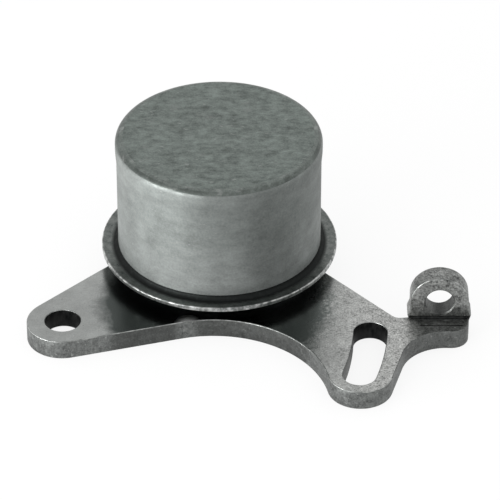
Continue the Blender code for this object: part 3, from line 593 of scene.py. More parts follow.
def black_steel():
    """Walls of the holes and the slot, the ear's root and the die mark: painted near black, as painted shade
    in these recesses.

    They are rubbed grey at the slot's outer end and in the ear's hole.
    """
    finish = new_finish("black_steel")
    patches = clouds(finish, 1.6 * MM, 4, (1, 1, 0.5))
    clean = within(finish, patches, 0.35, 0.7)
    # Painted shade: near-black colour in the recesses.
    colour = paint(finish, clean, (0.008, 0.009, 0.009, 1), (0.035, 0.036, 0.035, 1))
    rubbed = mottled(finish, (0.16, 0.165, 0.16, 1), [(patches, 0.4), (clouds(finish, 0.5 * MM, 2), 0.4)])
    colour = paint(finish, part_of(finish, 1, -43 * MM, -49 * MM), colour, rubbed)
    in_ear = part_of(finish, 2, PLATE_THICKNESS + 1 * MM, PLATE_THICKNESS + 2 * MM)
    colour = paint(finish, times(finish, in_ear, 0.85), colour, rubbed)
    return finish_with(finish, colour, within(finish, patches, 0.3, 0.7, 0.45, 0.65), [(patches, 0.04 * MM)])


def plate_finish_at(centre, normal):
    """Which of the plate's four finishes a face has, by its place and the way it faces."""
    angle = math.atan2(centre.y - PIVOT[1], centre.x - PIVOT[0])
    from_pivot = math.dist((centre.x, centre.y), PIVOT)
    from_ear_hole = math.dist((centre.x, centre.z), (ear_x, ear_hole_z))
    on_ear = centre.z > PLATE_THICKNESS + EAR_ROOT_FILLET
    if on_ear:
        if from_ear_hole < EAR_HOLE + PLATE_ROUND + edge_slack and abs(normal.y) < 0.9:
            return BLACK
        return ROLLED if abs(normal.y) > 0.9 or abs(normal.y) < 0.2 else WORN_HIGHLIT
    under_ear = centre.x > ear_x - EAR_HALF_WIDTH and centre.y > ear_front - EAR_ROOT_FILLET
    bent = under_ear and abs(normal.x) < 0.3
    # The ear's root takes the black finish: painted shade in the crease.
    if bent and normal.y < -0.1 and centre.z > PLATE_THICKNESS:
        return BLACK
    # The die mark's groove takes the black finish: painted shade in the groove.
    along_mark = abs(centre.x - imprint_x) < IMPRINT_HALF_WIDTH
    in_mark = abs(centre.y - imprint_near + IMPRINT_CORNER) < DIE_MARK_HALF_WIDTH + edge_slack
    if along_mark and in_mark and PLATE_THICKNESS / 2 < centre.z < PLATE_THICKNESS:
        return BLACK
    if abs(normal.z) > 0.95 or bent:
        return ROLLED
    if abs(normal.z) > 0.2:
        return CUT if centre.x > ear_x - FOOT_HOLLOW else WORN_HIGHLIT
    end = min(math.dist((centre.x, centre.y), along_slot(turn, SLOT_ARC)) for turn in (SLOT_NEAR, SLOT_FAR))
    in_slot = SLOT_FAR < angle < SLOT_NEAR and abs(from_pivot - SLOT_ARC) < SLOT_HALF_WIDTH + edge_slack
    if from_pivot < PIVOT_HOLE + edge_slack or in_slot or end < SLOT_HALF_WIDTH + edge_slack:
        return BLACK
    return CUT


ROLLED, CUT, WORN_HIGHLIT, BLACK = range(4)
edge_slack = 0.02 * MM
fit(plate, "bracket", ["base_plate"], rolled_steel())
for finish in (cut_steel(), worn_and_highlit_steel(), black_steel()):
    plate.data.materials.append(finish)
for face in plate.data.polygons:
    face.material_index = plate_finish_at(face.center, face.normal)


# Pin, collar, spacer and washer: turned steel. The pin passes down through the bearing and its tail is
# riveted over in the plate's countersink, so that its head clamps the inner rings and the dust shield.
SEAT_GAP = 0.3 * MM
BEARING_BORE = 10.0 * MM
PIN_TAIL = 8.0 * MM
PIN_HEAD_HEIGHT = 3.0 * MM
PIN_CENTRE = 1.2 * MM
RIVET_DISH = (5.2 * MM, 0.25 * MM)
LATHE_ROUND = 0.4 * MM


def rounded_ring(name, inner, outer, low, high, radius):
    """A turned ring with its four corners rounded."""
    corners = [(outer, high, 1, 1), (outer, low, 1, -1), (inner, low, -1, -1), (inner, high, -1, 1)]
    section = []
    for index, (r, z, out, up) in enumerate(corners):
        start = QUARTER * (1 - index)
        section += arc((r - out * radius, z - up * radius), radius, start, start - QUARTER)
    return turned(name, section)


def round_the_axis(finish, pitch):
    """Fine grooves round the Z axis, on faces and on walls alike: noise by radius plus height."""
    place = parts_of_place(finish)
    radius = distance(finish, place[0], place[1])
    along = add(finish, "ShaderNodeCombineXYZ", [(0, plus(finish, radius, place[2]))]).outputs[0]
    links = [("Vector", along), ("Scale", 1 / pitch), ("Detail", 2.0)]
    return add(finish, "ShaderNodeTexNoise", links).outputs["Fac"]


def turned_steel():
    """Lathe-turned steel: fine grooves round the axis, a little clouded by oil."""
    finish = new_finish("turned_steel")
    grooves = round_the_axis(finish, 0.12 * MM)
    patches = clouds(finish, 3 * MM, 4)
    colour = paint(finish, within(finish, patches, 0.35, 0.65), (0.36, 0.36, 0.35, 1), (0.48, 0.48, 0.47, 1))
    colour = paint(finish, within(finish, grooves, 0.4, 0.75, 0.0, 0.4), colour, (0.25, 0.25, 0.245, 1))
    return finish_with(finish, colour, within(finish, grooves, 0.3, 0.7, 0.24, 0.4), [(grooves, 0.012 * MM)])


lathe_finish = turned_steel()
pin_low, pin_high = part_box("bearing_pin")
collar_low, collar_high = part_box("pin_collar")
journal = BEARING_BORE - SEAT_GAP
head_bottom = pin_high.z - PIN_HEAD_HEIGHT
rivet = PIN_TAIL + PIN_HOLE_FLARE - LATHE_ROUND
pin = turned("headed_pin", [
    (PIN_CENTRE / 2, pin_high.z - PIN_CENTRE),
    (PIN_CENTRE, pin_high.z - PIN_CENTRE / 2),
    (2 * PIN_CENTRE, pin_high.z),
    *arc((pin_high.x - LATHE_ROUND, pin_high.z - LATHE_ROUND), LATHE_ROUND, QUARTER, 0.0),
    *arc((pin_high.x - LATHE_ROUND / 2, head_bottom + LATHE_ROUND / 2), LATHE_ROUND / 2, 0.0, -QUARTER),
    (journal, head_bottom),
    (journal, collar_low.z + LATHE_ROUND),
    (journal - LATHE_ROUND, collar_low.z),
    (PIN_TAIL, collar_low.z),
    (PIN_TAIL, PIN_HOLE_FLARE),
    (rivet + LATHE_ROUND / 2, LATHE_ROUND),
    *arc((rivet, LATHE_ROUND), LATHE_ROUND, -QUARTER / 2, -QUARTER),
    (RIVET_DISH[0], 0.0),
    (RIVET_DISH[0] - 2 * RIVET_DISH[1], RIVET_DISH[1]),
    (PIN_CENTRE, RIVET_DISH[1]),
    (PIN_CENTRE / 2, 2 * RIVET_DISH[1]),
], closed=False)
smooth(pin)
fit(pin, "bracket", ["bearing_pin"], lathe_finish)

for piece_name, node, edge in (
    ("collar", "pin_collar", LATHE_ROUND),
    ("spacer", "spacer_ring", LATHE_ROUND / 2),
    ("washer_under_head", "head_washer", LATHE_ROUND / 2),
):
    ring_low, ring_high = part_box(node)
    ring = rounded_ring(piece_name, BEARING_BORE, ring_high.x, ring_low.z, ring_high.z, edge)
    smooth(ring)
    fit(ring, "bracket", [node], lathe_finish)


# Dust shield: a disc pressed from thin zinc-plated sheet, dished up and flanged at its rim.
# It is clamped between the collar and the spacer, and closes the cup's mouth without touching it.
SHEET = 0.8 * MM
SHIELD_RISE = 0.7 * MM
SHIELD_LAND = 2.0 * MM
SHIELD_BEND = 1.0 * MM


def s_bend(start, end, steps=10):
    """Points of a smooth step from one (radius, height) to another."""
    points = []
    for i in range(steps + 1):
        t = i / steps
        rise = (1 - math.cos(math.pi * t)) / 2
        points.append((start[0] + (end[0] - start[0]) * t, start[1] + (end[1] - start[1]) * rise))
    return points


def pressed_sheet():
    """Plated sheet: bright grey, clouded, with faint draw marks round the axis and a few scuffs."""
    finish = new_finish("pressed_sheet")
    marks = round_the_axis(finish, 0.5 * MM)
    patches = clouds(finish, 2.5 * MM, 5)
    scuffs = scratches(finish, 5 * MM, 0.2 * MM, 0.7, 0.64)
    clean = within(finish, patches, 0.35, 0.65)
    colour = paint(finish, clean, (0.34, 0.345, 0.36, 1), (0.46, 0.465, 0.48, 1))
    colour = paint(finish, times(finish, scuffs, 0.4), colour, (0.6, 0.6, 0.62, 1))
    heights = [(marks, 0.01 * MM), (patches, 0.015 * MM)]
    return finish_with(finish, colour, within(finish, patches, 0.3, 0.7, 0.28, 0.42), heights)


shield_low, shield_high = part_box("dust_shield")
clamped = collar_high.x + SHIELD_LAND / 2
dish_top = shield_high.z
dish_bottom = dish_top - SHEET
seat_top = dish_top - SHIELD_RISE
skirt = shield_high.x - SHEET
shield = turned("pressed_shield", [
    *arc((shield_high.x - SHIELD_BEND, dish_top - SHIELD_BEND), SHIELD_BEND, QUARTER, 0.0),
    (shield_high.x, shield_low.z + SHEET / 8),
    (shield_high.x - SHEET / 8, shield_low.z),
    (skirt + SHEET / 8, shield_low.z),
    (skirt, shield_low.z + SHEET / 8),
    *arc((shield_high.x - SHIELD_BEND, dish_top - SHIELD_BEND), SHIELD_BEND - SHEET, 0.0, QUARTER),
    *s_bend((clamped + SHIELD_LAND, dish_bottom), (clamped, seat_top - SHEET)),
    (BEARING_BORE, seat_top - SHEET),
    (BEARING_BORE, seat_top),
    *s_bend((clamped - SHEET / 2, seat_top), (clamped + SHIELD_LAND - SHEET / 2, dish_top)),
])
smooth(shield)
fit(shield, "bracket", ["dust_shield"], pressed_sheet())


# Bearing rings: hardened chrome steel, ground all over, their raceways honed. The inner ring is split, so
# that both rows of balls can be put in; the outer ring is pressed into the cup.
BALL = 3.969 * MM
RACEWAY = BALL + SEAT_GAP
LAND_DEPTH = 2.7 * MM
RING_ROUND = 0.6 * MM
SEAL_THICKNESS = 0.7 * MM
SEAL_RECESS = 0.2 * MM
SEAL_SEAT_DEPTH = 1.2 * MM

outer_low, outer_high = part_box("outer_ring")
upper_low, upper_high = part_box("inner_ring_upper")
pitch = upper_high.x + LAND_DEPTH
rows = {row: sum((corner.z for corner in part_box(f"ball_{row}_01")), 0.0) / 2 for row in ("lower", "upper")}


def raceway(height, side):
    """Groove for a row of balls, from below, in the ring on one side of the row."""
    half = math.acos(LAND_DEPTH / RACEWAY)
    return [(pitch + side * x, height + z) for x, z in arc((0, 0), RACEWAY, -half, half)]


def ground_steel():
    """Ground bearing steel: bright and cool, with very fine lines round the axis and a few oil clouds."""
    finish = new_finish("ground_steel")
    lines = round_the_axis(finish, 0.06 * MM)
    oil = clouds(finish, 4 * MM, 4)
    colour = paint(finish, within(finish, oil, 0.35, 0.65), (0.5, 0.5, 0.51, 1), (0.6, 0.6, 0.61, 1))
    colour = paint(finish, within(finish, lines, 0.45, 0.75, 0.0, 0.3), colour, (0.4, 0.4, 0.41, 1))
    return finish_with(finish, colour, within(finish, oil, 0.3, 0.7, 0.14, 0.26), [(lines, 0.003 * MM)])


ring_finish = ground_steel()
seal_seat = pitch + LAND_DEPTH + SEAL_SEAT_DEPTH
seat_depth = SEAL_RECESS + SEAL_THICKNESS + SEAT_GAP
outer_race = turned("bearing_outer_ring", [
    *arc((outer_high.x - RING_ROUND, outer_high.z - RING_ROUND), RING_ROUND, QUARTER, 0.0),
    *arc((outer_high.x - RING_ROUND, outer_low.z + RING_ROUND), RING_ROUND, 0.0, -QUARTER),
    (seal_seat, outer_low.z),
    (seal_seat, outer_low.z + seat_depth),
    (pitch + LAND_DEPTH, outer_low.z + seat_depth),
    *raceway(rows["lower"], 1),
    *raceway(rows["upper"], 1),
    (pitch + LAND_DEPTH, outer_high.z - seat_depth),
    (seal_seat, outer_high.z - seat_depth),
    (seal_seat, outer_high.z),
])
smooth(outer_race)
fit(outer_race, "pulley", ["outer_ring"], ring_finish)

for row, outward in (("lower", -1), ("upper", 1)):
    node = f"inner_ring_{row}"
    half_low, half_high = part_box(node)
    outside, inside = (half_high.z, half_low.z) if outward > 0 else (half_low.z, half_high.z)
    corner = (BEARING_BORE + RING_ROUND, outside - outward * RING_ROUND)
    bore_corner = arc(corner, RING_ROUND, math.pi, math.pi - outward * QUARTER)
    track = raceway(rows[row], -1)[::outward]
    race = turned(f"bearing_inner_ring_{row}", [
        (BEARING_BORE, inside),
        *bore_corner,
        (half_high.x, outside),
        *track[::-1],
        (half_high.x, inside),
    ])
    smooth(race)
    fit(race, "bracket", [node], ring_finish)


# Balls: hardened chrome steel, lapped to a mirror. Nine ride in each row, held apart by its cage.
BALL_CUTS = 15


def copy_of(piece, name):
    """A second piece of the same shape."""
    twin = piece.copy()
    twin.data = piece.data.copy()
    twin.name = name
    bpy.context.collection.objects.link(twin)
    return twin


def lapped_steel():
    """Lapped steel: a mirror with hair-fine random marks and a film of grease."""
    finish = new_finish("lapped_steel")
    one_way, other_way = (scratches(finish, 2 * MM, 0.05 * MM, turn, 0.66) for turn in (0.4, 1.9))
    marks = plus(finish, one_way, other_way)
    grease = clouds(finish, 1.5 * MM, 3)
    colour = paint(finish, within(finish, grease, 0.4, 0.65), (0.66, 0.66, 0.68, 1), (0.76, 0.76, 0.78, 1))
    heights = [(marks, -0.002 * MM)]
    return finish_with(finish, colour, within(finish, grease, 0.35, 0.65, 0.16, 0.06), heights)


ball_finish = lapped_steel()
bpy.ops.object.select_all(action="DESELECT")
bpy.ops.mesh.primitive_cube_add(size=2 * BALL)
pattern_ball = bpy.context.object
pattern_ball.name = "pattern_ball"
bpy.ops.object.mode_set(mode="EDIT")
bpy.ops.mesh.select_all(action="SELECT")
bpy.ops.mesh.subdivide(number_cuts=BALL_CUTS)
bpy.ops.object.mode_set(mode="OBJECT")
for point in pattern_ball.data.vertices:
    point.co = point.co.normalized() * BALL
only(pattern_ball)
bpy.ops.object.shade_smooth()
balls_per_row = sum(name.startswith("ball_lower_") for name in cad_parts)
for row in rows:
    for number in range(1, balls_per_row + 1):
        node = f"ball_{row}_{number:02d}"
        ball_low, ball_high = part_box(node)
        ball = copy_of(pattern_ball, f"polished_{node}")
        settle(ball, Matrix.Translation((ball_low + ball_high) / 2))
        fit(ball, f"{row}_row", [node], ball_finish)
bpy.data.objects.remove(pattern_ball, do_unlink=True)


# Cages: crowns of natural nylon, moulded in one piece. The balls snap into their pockets from the open
# side, and a round notch between two pockets lets the prongs spring.
NOTCH = 1.2 * MM
CAGE_ROUND = 0.15 * MM


def natural_nylon():
    """Natural moulded nylon: ivory, slightly clouded and stained by grease, with a fine sparked grain."""
    finish = new_finish("natural_nylon", 0.0)
    clouding = clouds(finish, 2.5 * MM, 4)
    grain = clouds(finish, 0.15 * MM, 2)
    colour = paint(finish, within(finish, clouding, 0.3, 0.7), (0.66, 0.55, 0.35, 1), (0.55, 0.43, 0.25, 1))
    return finish_with(finish, colour, within(finish, clouding, 0.3, 0.7, 0.38, 0.55), [(grain, 0.01 * MM)])


cage_low, cage_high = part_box("cage_lower")
width = cage_high.x - pitch
cutters = []
bpy.ops.object.select_all(action="DESELECT")
for number in range(balls_per_row):
    angle = 2 * math.pi * number / balls_per_row
    bpy.ops.mesh.primitive_uv_sphere_add(
        segments=44, ring_count=22, radius=RACEWAY,
        location=(pitch * math.cos(angle), pitch * math.sin(angle), rows["lower"]),
    )
    cutters.append(bpy.context.object)
    angle += math.pi / balls_per_row
    bpy.ops.mesh.primitive_cylinder_add(
        vertices=32, radius=NOTCH, depth=4 * width, rotation=(0, QUARTER, angle),
        location=(pitch * math.cos(angle), pitch * math.sin(angle), cage_high.z + NOTCH / 4),
    )
    cutters.append(bpy.context.object)
only(cutters[0])
for cutter in cutters:
    cutter.select_set(True)
bpy.ops.object.join()
crown = rounded_ring("crown_cage_lower", pitch - width, cage_high.x, cage_low.z, cage_high.z, CAGE_ROUND)
combine(crown, cutters[0], "DIFFERENCE")
smooth(crown)

upper_crown = copy_of(crown, "crown_cage_upper")
turn_over = Matrix.Translation((0, 0, rows["lower"] + rows["upper"])) @ Matrix.Rotation(math.pi, 4, "X")
settle(upper_crown, turn_over)
nylon_finish = natural_nylon()
fit(crown, "lower_row", ["cage_lower"], nylon_finish)
fit(upper_crown, "upper_row", ["cage_upper"], nylon_finish)


# Seals: black nitrile rubber moulded on a steel disc, snapped into the outer ring at both ends of the
# bearing. A thin lip runs at the inner ring.
SEAL_LIP = 0.22 * MM
SEAL_BEAD = 0.18 * MM
SEAL_HOLLOW = 0.12 * MM


def nitrile_rubber():
    """Moulded nitrile rubber: black and dull, with faint moulding rings and a bloom in patches."""
    finish = new_finish("nitrile_rubber", 0.0)
    rings = round_the_axis(finish, 0.25 * MM)
    bloom = clouds(finish, 3 * MM, 5)
    colour = paint(finish, within(finish, bloom, 0.4, 0.7), (0.022, 0.022, 0.022, 1), (0.05, 0.05, 0.052, 1))
    heights = [(rings, 0.01 * MM), (clouds(finish, 0.1 * MM, 2), 0.01 * MM)]
    return finish_with(finish, colour, within(finish, bloom, 0.3, 0.7, 0.48, 0.66), heights)


rubber_finish = nitrile_rubber()
for row, outward in (("lower", -1), ("upper", 1)):
    node = f"seal_{row}"
    disc_low, disc_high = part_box(node)
    outside, inside = (disc_high.z, disc_low.z) if outward > 0 else (disc_low.z, disc_high.z)
    lip = upper_high.x + SEAT_GAP
    disc = turned(f"moulded_{node}", [
        (disc_high.x - SEAL_BEAD, outside),
        (disc_high.x, outside - outward * SEAL_BEAD),
        (disc_high.x, inside + outward * SEAL_BEAD),
        (disc_high.x - SEAL_BEAD, inside),
        (lip + 6 * SEAL_LIP, inside),
        (lip + 3 * SEAL_LIP, outside - outward * 2 * SEAL_LIP),
        (lip, outside - outward * 2 * SEAL_LIP),
        (lip, outside - outward * SEAL_LIP),
        (lip + 3 * SEAL_LIP, outside - outward * SEAL_LIP / 2),
        (lip + 5 * SEAL_LIP, outside),
        (lip + 6 * SEAL_LIP, outside - outward * SEAL_HOLLOW),
        (disc_high.x - 5 * SEAL_BEAD, outside - outward * SEAL_HOLLOW),
        (disc_high.x - 4 * SEAL_BEAD, outside),
    ])
    smooth(disc)
    fit(disc, "pulley", [node], rubber_finish)


# Pulley cup: deep drawn from thick sheet, its belt face and flange turned, its closed end left as drawn.
# A gutter runs round the foot of the belt face, and the flange keeps the belt from walking off.
CUP_WALL = 3.4 * MM
CUP_SHOULDER = 1.7 * MM
CUP_END_WALL = 3.0 * MM
CUP_CORNER = 2.3 * MM
TURNED_CORNER = math.radians(35)
CUP_INNER_CORNER = 2.5 * MM
CUP_MOUTH_CHAMFER = 0.5 * MM
RIM_STEP = 0.3 * MM
RIM_HEIGHT = 6.5 * MM
FLANGE_REACH = 4.75 * MM
FLANGE_THICKNESS = 1.45 * MM
FLANGE_ROUND = 0.35 * MM
RIM_TAPER = 5.0 * MM
BELT_FACE_ROUGHNESS = 0.58
BELT_FACE_SPREAD = 0.4
GUTTER = 1.5 * MM
GUTTER_DEPTH = 0.45 * MM


def s_bend_up(start, end, steps=12):
    """Points of a smooth step in radius, from one (radius, height) to another."""
    return [(radius, height) for height, radius in s_bend(start[::-1], end[::-1], steps)]


cup_low, cup_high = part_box("pulley_cup")
snap_low, snap_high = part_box("snap_ring")
belt_face = cup_high.x - FLANGE_REACH
bore = belt_face - CUP_WALL
cavity = bore - CUP_SHOULDER
rim = belt_face + RIM_STEP
flange_top = cup_low.z + FLANGE_THICKNESS
step_z = cup_high.z - RIM_HEIGHT
ceiling = cup_high.z - CUP_END_WALL
groove = snap_high.x + SEAT_GAP
cup = turned("cup_shell", [
    *arc((rim - CUP_CORNER, cup_high.z - CUP_CORNER), CUP_CORNER, QUARTER, 0.0),
    *s_bend_up((rim, step_z + RIM_TAPER / 2), (belt_face, step_z - RIM_TAPER / 2)),
    *arc((belt_face + GUTTER, flange_top - GUTTER_DEPTH + GUTTER), GUTTER, 2 * QUARTER, 3 * QUARTER),
    *arc((cup_high.x - FLANGE_ROUND, flange_top - FLANGE_ROUND), FLANGE_ROUND, QUARTER, 0.0),
    *arc((cup_high.x - FLANGE_ROUND, cup_low.z + FLANGE_ROUND), FLANGE_ROUND, 0.0, -QUARTER),
    (bore + CUP_MOUTH_CHAMFER, cup_low.z),
    (bore, cup_low.z + CUP_MOUTH_CHAMFER),
    (bore, snap_low.z - SEAT_GAP),
    (groove, snap_low.z - SEAT_GAP),
    (groove, outer_low.z),
    (bore, outer_low.z),
    (bore, outer_high.z + SEAT_GAP),
    (cavity, outer_high.z + SEAT_GAP),
    *arc((cavity - CUP_INNER_CORNER, ceiling - CUP_INNER_CORNER), CUP_INNER_CORNER, 0.0, QUARTER),
], 288, closed=False)
smooth(cup)


def drawn_steel():
    """Drawn steel of the closed end: dull and mottled, its lay running across it, with rubs and dents."""
    finish = new_finish("drawn_steel")
    blotches = clouds(finish, 8 * MM, 5, (0.7, 1.2, 1))
    mottles = clouds(finish, 2.2 * MM, 4, (0.75, 1, 1), rough=0.65)
    lay = clouds(finish, 0.8 * MM, 3, (0.25, 1, 1))
    grain = clouds(finish, 0.5 * MM, 2)
    rubs = within(finish, clouds(finish, 4 * MM, 5, (0.7, 1, 1), rough=0.65), 0.58, 0.72)
    dents = flecks(finish, 1.3 * MM, 0.68, (0.5, 1, 1))
    colour = mottled(finish, (0.155, 0.178, 0.165, 1), [
        (blotches, 0.22), (mottles, 0.4), (lay, 0.12), (grain, 0.2),
    ])
    colour = paint(finish, times(finish, rubs, 0.4), colour, (0.25, 0.265, 0.255, 1))
    colour = paint(finish, times(finish, dents, 0.35), colour, (0.4, 0.41, 0.4, 1))
    heights = [(blotches, 0.03 * MM), (mottles, 0.03 * MM), (lay, 0.012 * MM), (dents, -0.02 * MM)]
    return finish_with(finish, colour, within(finish, blotches, 0.3, 0.7, 0.42, 0.5), heights)


def belt_face_steel():
    """The turned belt face: satin, with faint tool rings, smudges and scuffs.

    It is painted lighter low down, a painted light against the shade near the gutter, and handling has rubbed
    its corner smooth in places.
    """
    finish = new_finish("belt_face_steel")
    shader = shader_of(finish)
    shader.inputs["Anisotropic"].default_value = BELT_FACE_SPREAD
    shader.inputs["Anisotropic Rotation"].default_value = 0.25
    tangent = add(finish, "ShaderNodeTangent", direction_type="RADIAL", axis="Z")
    finish.node_tree.links.new(tangent.outputs[0], shader.inputs["Tangent"])
    rings = round_the_axis(finish, 0.3 * MM)
    blotches = clouds(finish, 9 * MM, 5, (1, 1, 0.6))
    grain = clouds(finish, 0.6 * MM, 3)
    smudges = clouds(finish, 3.5 * MM, 4, (0.6, 0.6, 1.2), rough=0.6)
    scuffs = flecks(finish, 1.2 * MM, 0.7, (0.5, 0.5, 1.5))
    # Painted light: the belt face is made lighter low down.
    low_down = part_of(finish, 2, 32 * MM, 16 * MM)
    painted_light_low_down = paint(finish, low_down, (0.18, 0.194, 0.187, 1), (0.235, 0.25, 0.243, 1))
    colour = mottled(finish, painted_light_low_down, [(blotches, 0.14), (smudges, 0.18), (grain, 0.14), (rings, 0.05)])
    colour = paint(finish, times(finish, scuffs, 0.3), colour, (0.34, 0.35, 0.345, 1))
    corner = part_of(finish, 2, cup_high.z - CUP_CORNER, cup_high.z - CUP_CORNER / 2)
    rubs = within(finish, clouds(finish, 6 * MM, 4, (1, 1, 3)), 0.45, 0.6, -0.02, -0.25)
    heights = [(rings, 0.003 * MM), (blotches, 0.02 * MM), (smudges, 0.01 * MM)]
    satin = plus(finish, BELT_FACE_ROUGHNESS, times(finish, corner, rubs))
    return finish_with(finish, colour, satin, heights)


def flange_steel():
    """Flange and gutter: turned and dark, darkest in the gutter, with grime and painted shade."""
    finish = new_finish("flange_steel")
    place = parts_of_place(finish)
    radius = distance(finish, place[0], place[1])
    patches = clouds(finish, 2.2 * MM, 5, rough=0.65)
    grain = clouds(finish, 0.5 * MM, 3)
    worn = within(finish, patches, 0.35, 0.65)
    colour = paint(finish, worn, (0.075, 0.085, 0.08, 1), (0.165, 0.175, 0.168, 1))
    colour = paint(finish, within(finish, grain, 0.5, 0.7, 0.0, 0.4), colour, (0.24, 0.25, 0.243, 1))
    # Grime and painted shade: near black in the gutter at the foot of the belt face.
    grime_and_painted_shade = within(finish, radius, belt_face + 0.8 * GUTTER, belt_face + 1.5 * GUTTER, 0.92, 0.0)
    grime_and_painted_shade = times(finish, grime_and_painted_shade, within(finish, patches, 0.35, 0.5, 0.9, 1.0))
    colour = paint(finish, grime_and_painted_shade, colour, (0.006, 0.007, 0.007, 1))
    dull = plus(finish, within(finish, patches, 0.3, 0.7, 0.26, 0.36), times(finish, grime_and_painted_shade, 0.3))
    heights = [(round_the_axis(finish, 0.3 * MM), 0.002 * MM), (patches, 0.03 * MM)]
    return finish_with(finish, colour, dull, heights)


def rubbed_corner_with_painted_light():
    """Start of the closed end's corner: as the end itself, with a few pale rubs, which are partly painted
    highlights.

    A faint dark line, a painted reflection, runs where the lathe tool that turned the belt face stopped.
    """
    finish = new_finish("rubbed_corner_with_painted_light")
    place = parts_of_place(finish)
    mottles = clouds(finish, 2.2 * MM, 4, rough=0.6)
    rubs = clouds(finish, 5 * MM, 4, (1, 1, 2.5), rough=0.6)
    # A painted reflection: a faint dark line round the corner.
    line = within(finish, distance(finish, place[0], place[1]), tool_end - 0.45 * MM, tool_end - 0.15 * MM)
    line = times(finish, line, within(finish, clouds(finish, 9 * MM, 4), 0.4, 0.6, 0.05, 0.6))
    grain = clouds(finish, 0.5 * MM, 2)
    colour = mottled(finish, (0.15, 0.168, 0.157, 1), [(mottles, 0.3), (grain, 0.2)])
    colour = paint(finish, line, colour, (0.05, 0.056, 0.052, 1))
    # Pale rubs, partly painted highlights.
    colour = paint(finish, within(finish, rubs, 0.56, 0.72, 0.0, 0.5), colour, (0.4, 0.41, 0.4, 1))
    heights = [(mottles, 0.04 * MM), (rubs, 0.04 * MM)]
    return finish_with(finish, colour, within(finish, rubs, 0.55, 0.68, 0.38, 0.3), heights)


def rubbed_highlit_edge():
    """The flange's edge, bright in patches: rubbed by the belt, and partly painted highlights."""
    finish = new_finish("rubbed_highlit_edge")
    patches = clouds(finish, 1.5 * MM, 4)
    # The bright patches are wear and partly painted highlights.
    rubbed = within(finish, patches, 0.4, 0.6)
    colour = paint(finish, rubbed, (0.13, 0.137, 0.133, 1), (0.45, 0.46, 0.45, 1))
    return finish_with(finish, colour, within(finish, patches, 0.4, 0.6, 0.42, 0.28), [(patches, 0.03 * MM)])


DRAWN, BELT_FACE, FLANGE, EDGE, CORNER = range(5)
tool_end = rim - (1 - math.sin(TURNED_CORNER)) * CUP_CORNER
fit(cup, "pulley", ["pulley_cup"], drawn_steel())
for finish in (belt_face_steel(), flange_steel(), rubbed_highlit_edge(), rubbed_corner_with_painted_light()):
    cup.data.materials.append(finish)
for face in cup.data.polygons:
    reach = math.hypot(face.center.x, face.center.y)
    if reach > cup_high.x - FLANGE_ROUND and face.center.z > cup_low.z + FLANGE_ROUND / 2:
        face.material_index = EDGE
    elif reach > belt_face - edge_slack and face.center.z < flange_top - GUTTER_DEPTH + GUTTER:
        face.material_index = FLANGE
    elif reach > belt_face - edge_slack and (face.center.z < cup_high.z - CUP_CORNER or reach > tool_end):
        face.material_index = BELT_FACE
    elif reach > rim - CUP_CORNER and face.center.z > cup_high.z - CUP_CORNER:
        face.material_index = CORNER


# Snap ring: blanked from spring steel, hardened and blackened, and sprung into the cup's groove below the
# bearing. Pliers close it by the two holes in its lugs.
SNAP_WIDTH = 2.8 * MM
SNAP_GAP_ANGLE = math.radians(20)
SNAP_LUG = 1.9 * MM
SNAP_LUG_INSET = 0.4 * MM
PLIER_HOLE = 0.9 * MM
SNAP_ROUND = 0.12 * MM


def snap_ring_lines():
    """The open ring with a lug at each end, and its two plier holes."""
    inner = snap_high.x - SNAP_WIDTH
    lug_circle = inner + SNAP_LUG_INSET
    start = SNAP_GAP_ANGLE / 2 - QUARTER
    end = start + 4 * QUARTER - SNAP_GAP_ANGLE
    lug_turn = SNAP_LUG / lug_circle
    clear = 2 * lug_turn + SNAP_LUG_INSET / lug_circle
    ring_line, holes = arc((0, 0), snap_high.x, start, end), []
    for angle in (end - lug_turn, start + lug_turn):
        lug = (lug_circle * math.cos(angle), lug_circle * math.sin(angle))
        ring_line += arc(lug, SNAP_LUG, angle + QUARTER, angle + 3 * QUARTER)
        if not holes:
            ring_line += arc((0, 0), inner, end - clear, start + clear)
        holes.append(without_repeats(arc(lug, PLIER_HOLE, 4 * QUARTER, 0.0)))
    return [without_repeats(ring_line), *holes]


def blackened_steel():
    """Blackened spring steel: satin black, a few rubs showing bare metal, faintly oiled."""
    finish = new_finish("blackened_steel")
    rubs = clouds(finish, 1.2 * MM, 5, rough=0.65)
    oil = clouds(finish, 3 * MM, 4)
    colour = paint(finish, within(finish, oil, 0.35, 0.65), (0.05, 0.051, 0.055, 1), (0.085, 0.086, 0.09, 1))
    colour = paint(finish, within(finish, rubs, 0.6, 0.7, 0.0, 0.7), colour, (0.3, 0.3, 0.3, 1))
    return finish_with(finish, colour, within(finish, oil, 0.3, 0.7, 0.28, 0.42), [(rubs, 0.01 * MM)])


snap_ring = flat_piece("sprung_ring", snap_ring_lines(), snap_high.z - snap_low.z, SNAP_ROUND, steps=2)
settle(snap_ring, Matrix.Translation((0, 0, (snap_low.z + snap_high.z) / 2)))
smooth(snap_ring)
fit(snap_ring, "pulley", ["snap_ring"], blackened_steel())


# Studio: a white surround and a pale floor that the part lies on, which partly glows where the camera or bare
# steel sees it, so that it stays near white. Two soft panels, one lying at the left and one standing at the
# front left, brighten that side of the steel.
FLOOR_SIZE = 6.0
FLOOR_DROP = 0.05 * MM
FLOOR_GLOW = 0.85
FLOOR_MIRRORED = 0.55
CAMERA_PLACE = (8.985 * MM, -872.8 * MM, 625.95 * MM)
CAMERA_TILT = math.radians(54.678)
CAMERA_LENS = 261.58

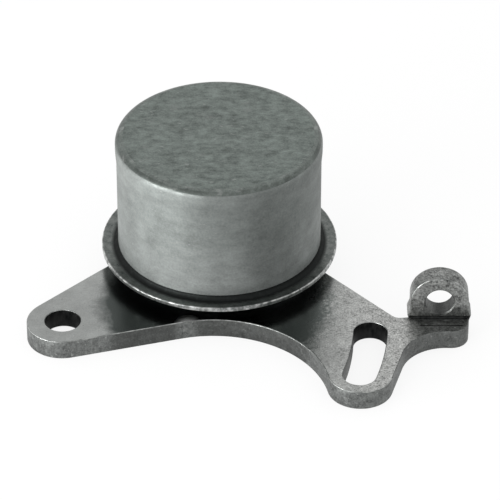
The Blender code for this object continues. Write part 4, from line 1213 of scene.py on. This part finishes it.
bpy.ops.object.select_all(action="DESELECT")
bpy.ops.mesh.primitive_plane_add(size=FLOOR_SIZE, location=(0, 0, plate_low.z - FLOOR_DROP))
floor = bpy.context.object
floor.name = "studio_floor"
pale = new_finish("studio_floor_white", 0.0)
shader_of(pale).inputs["Base Color"].default_value = (0.95, 0.95, 0.95, 1)
shader_of(pale).inputs["Roughness"].default_value = 0.9
rays = add(pale, "ShaderNodeLightPath")
mirrored = plus(pale, rays.outputs["Is Glossy Ray"], rays.outputs["Is Transmission Ray"])
looked_at = times(pale, rays.outputs["Is Camera Ray"], FLOOR_GLOW)
seen = plus(pale, looked_at, times(pale, mirrored, FLOOR_MIRRORED))
glow = add(pale, "ShaderNodeEmission", [("Color", (1, 1, 1, 1)), ("Strength", 1.0)])
surface = add(pale, "ShaderNodeMixShader", [
    (0, seen), (1, shader_of(pale).outputs[0]), (2, glow.outputs[0]),
])
pale.node_tree.links.new(surface.outputs[0], pale.node_tree.nodes["Material Output"].inputs["Surface"])
floor.data.materials.append(pale)

world = bpy.data.worlds.new("studio_surround")
world.use_nodes = True
world.node_tree.nodes["Background"].inputs["Color"].default_value = (1, 1, 1, 1)
world.node_tree.nodes["Background"].inputs["Strength"].default_value = 1.0
bpy.context.scene.world = world


def lamp(name, place, target, width, height, glare):
    """A rectangular soft lamp at a place, turned to a target; glare is its brightness against white."""
    bpy.ops.object.select_all(action="DESELECT")
    bpy.ops.object.light_add(type="AREA", location=place)
    light = bpy.context.object
    light.name = name
    light.rotation_euler = (Vector(target) - Vector(place)).to_track_quat("-Z", "Y").to_euler()
    light.data.shape = "RECTANGLE"
    light.data.size = width
    light.data.size_y = height
    light.data.energy = glare * math.pi * width * height
    light.visible_camera = False


lamp("floor_panel", (-0.3, -0.17, 0.001), (-0.3, -0.17, 1.0), 0.46, 0.45, 2.5)
lamp("front_left_panel", (-0.47, -0.38, 0.1), (0, 0, 0.03), 0.56, 0.2, 11.0)

bpy.ops.object.select_all(action="DESELECT")
bpy.ops.object.camera_add(location=CAMERA_PLACE, rotation=(CAMERA_TILT, 0, 0))
camera = bpy.context.object
camera.data.lens = CAMERA_LENS
camera.data.sensor_width = 36
camera.data.clip_start = 0.05
camera.data.clip_end = 20
bpy.context.scene.camera = camera
bpy.context.scene.view_settings.view_transform = "Standard"
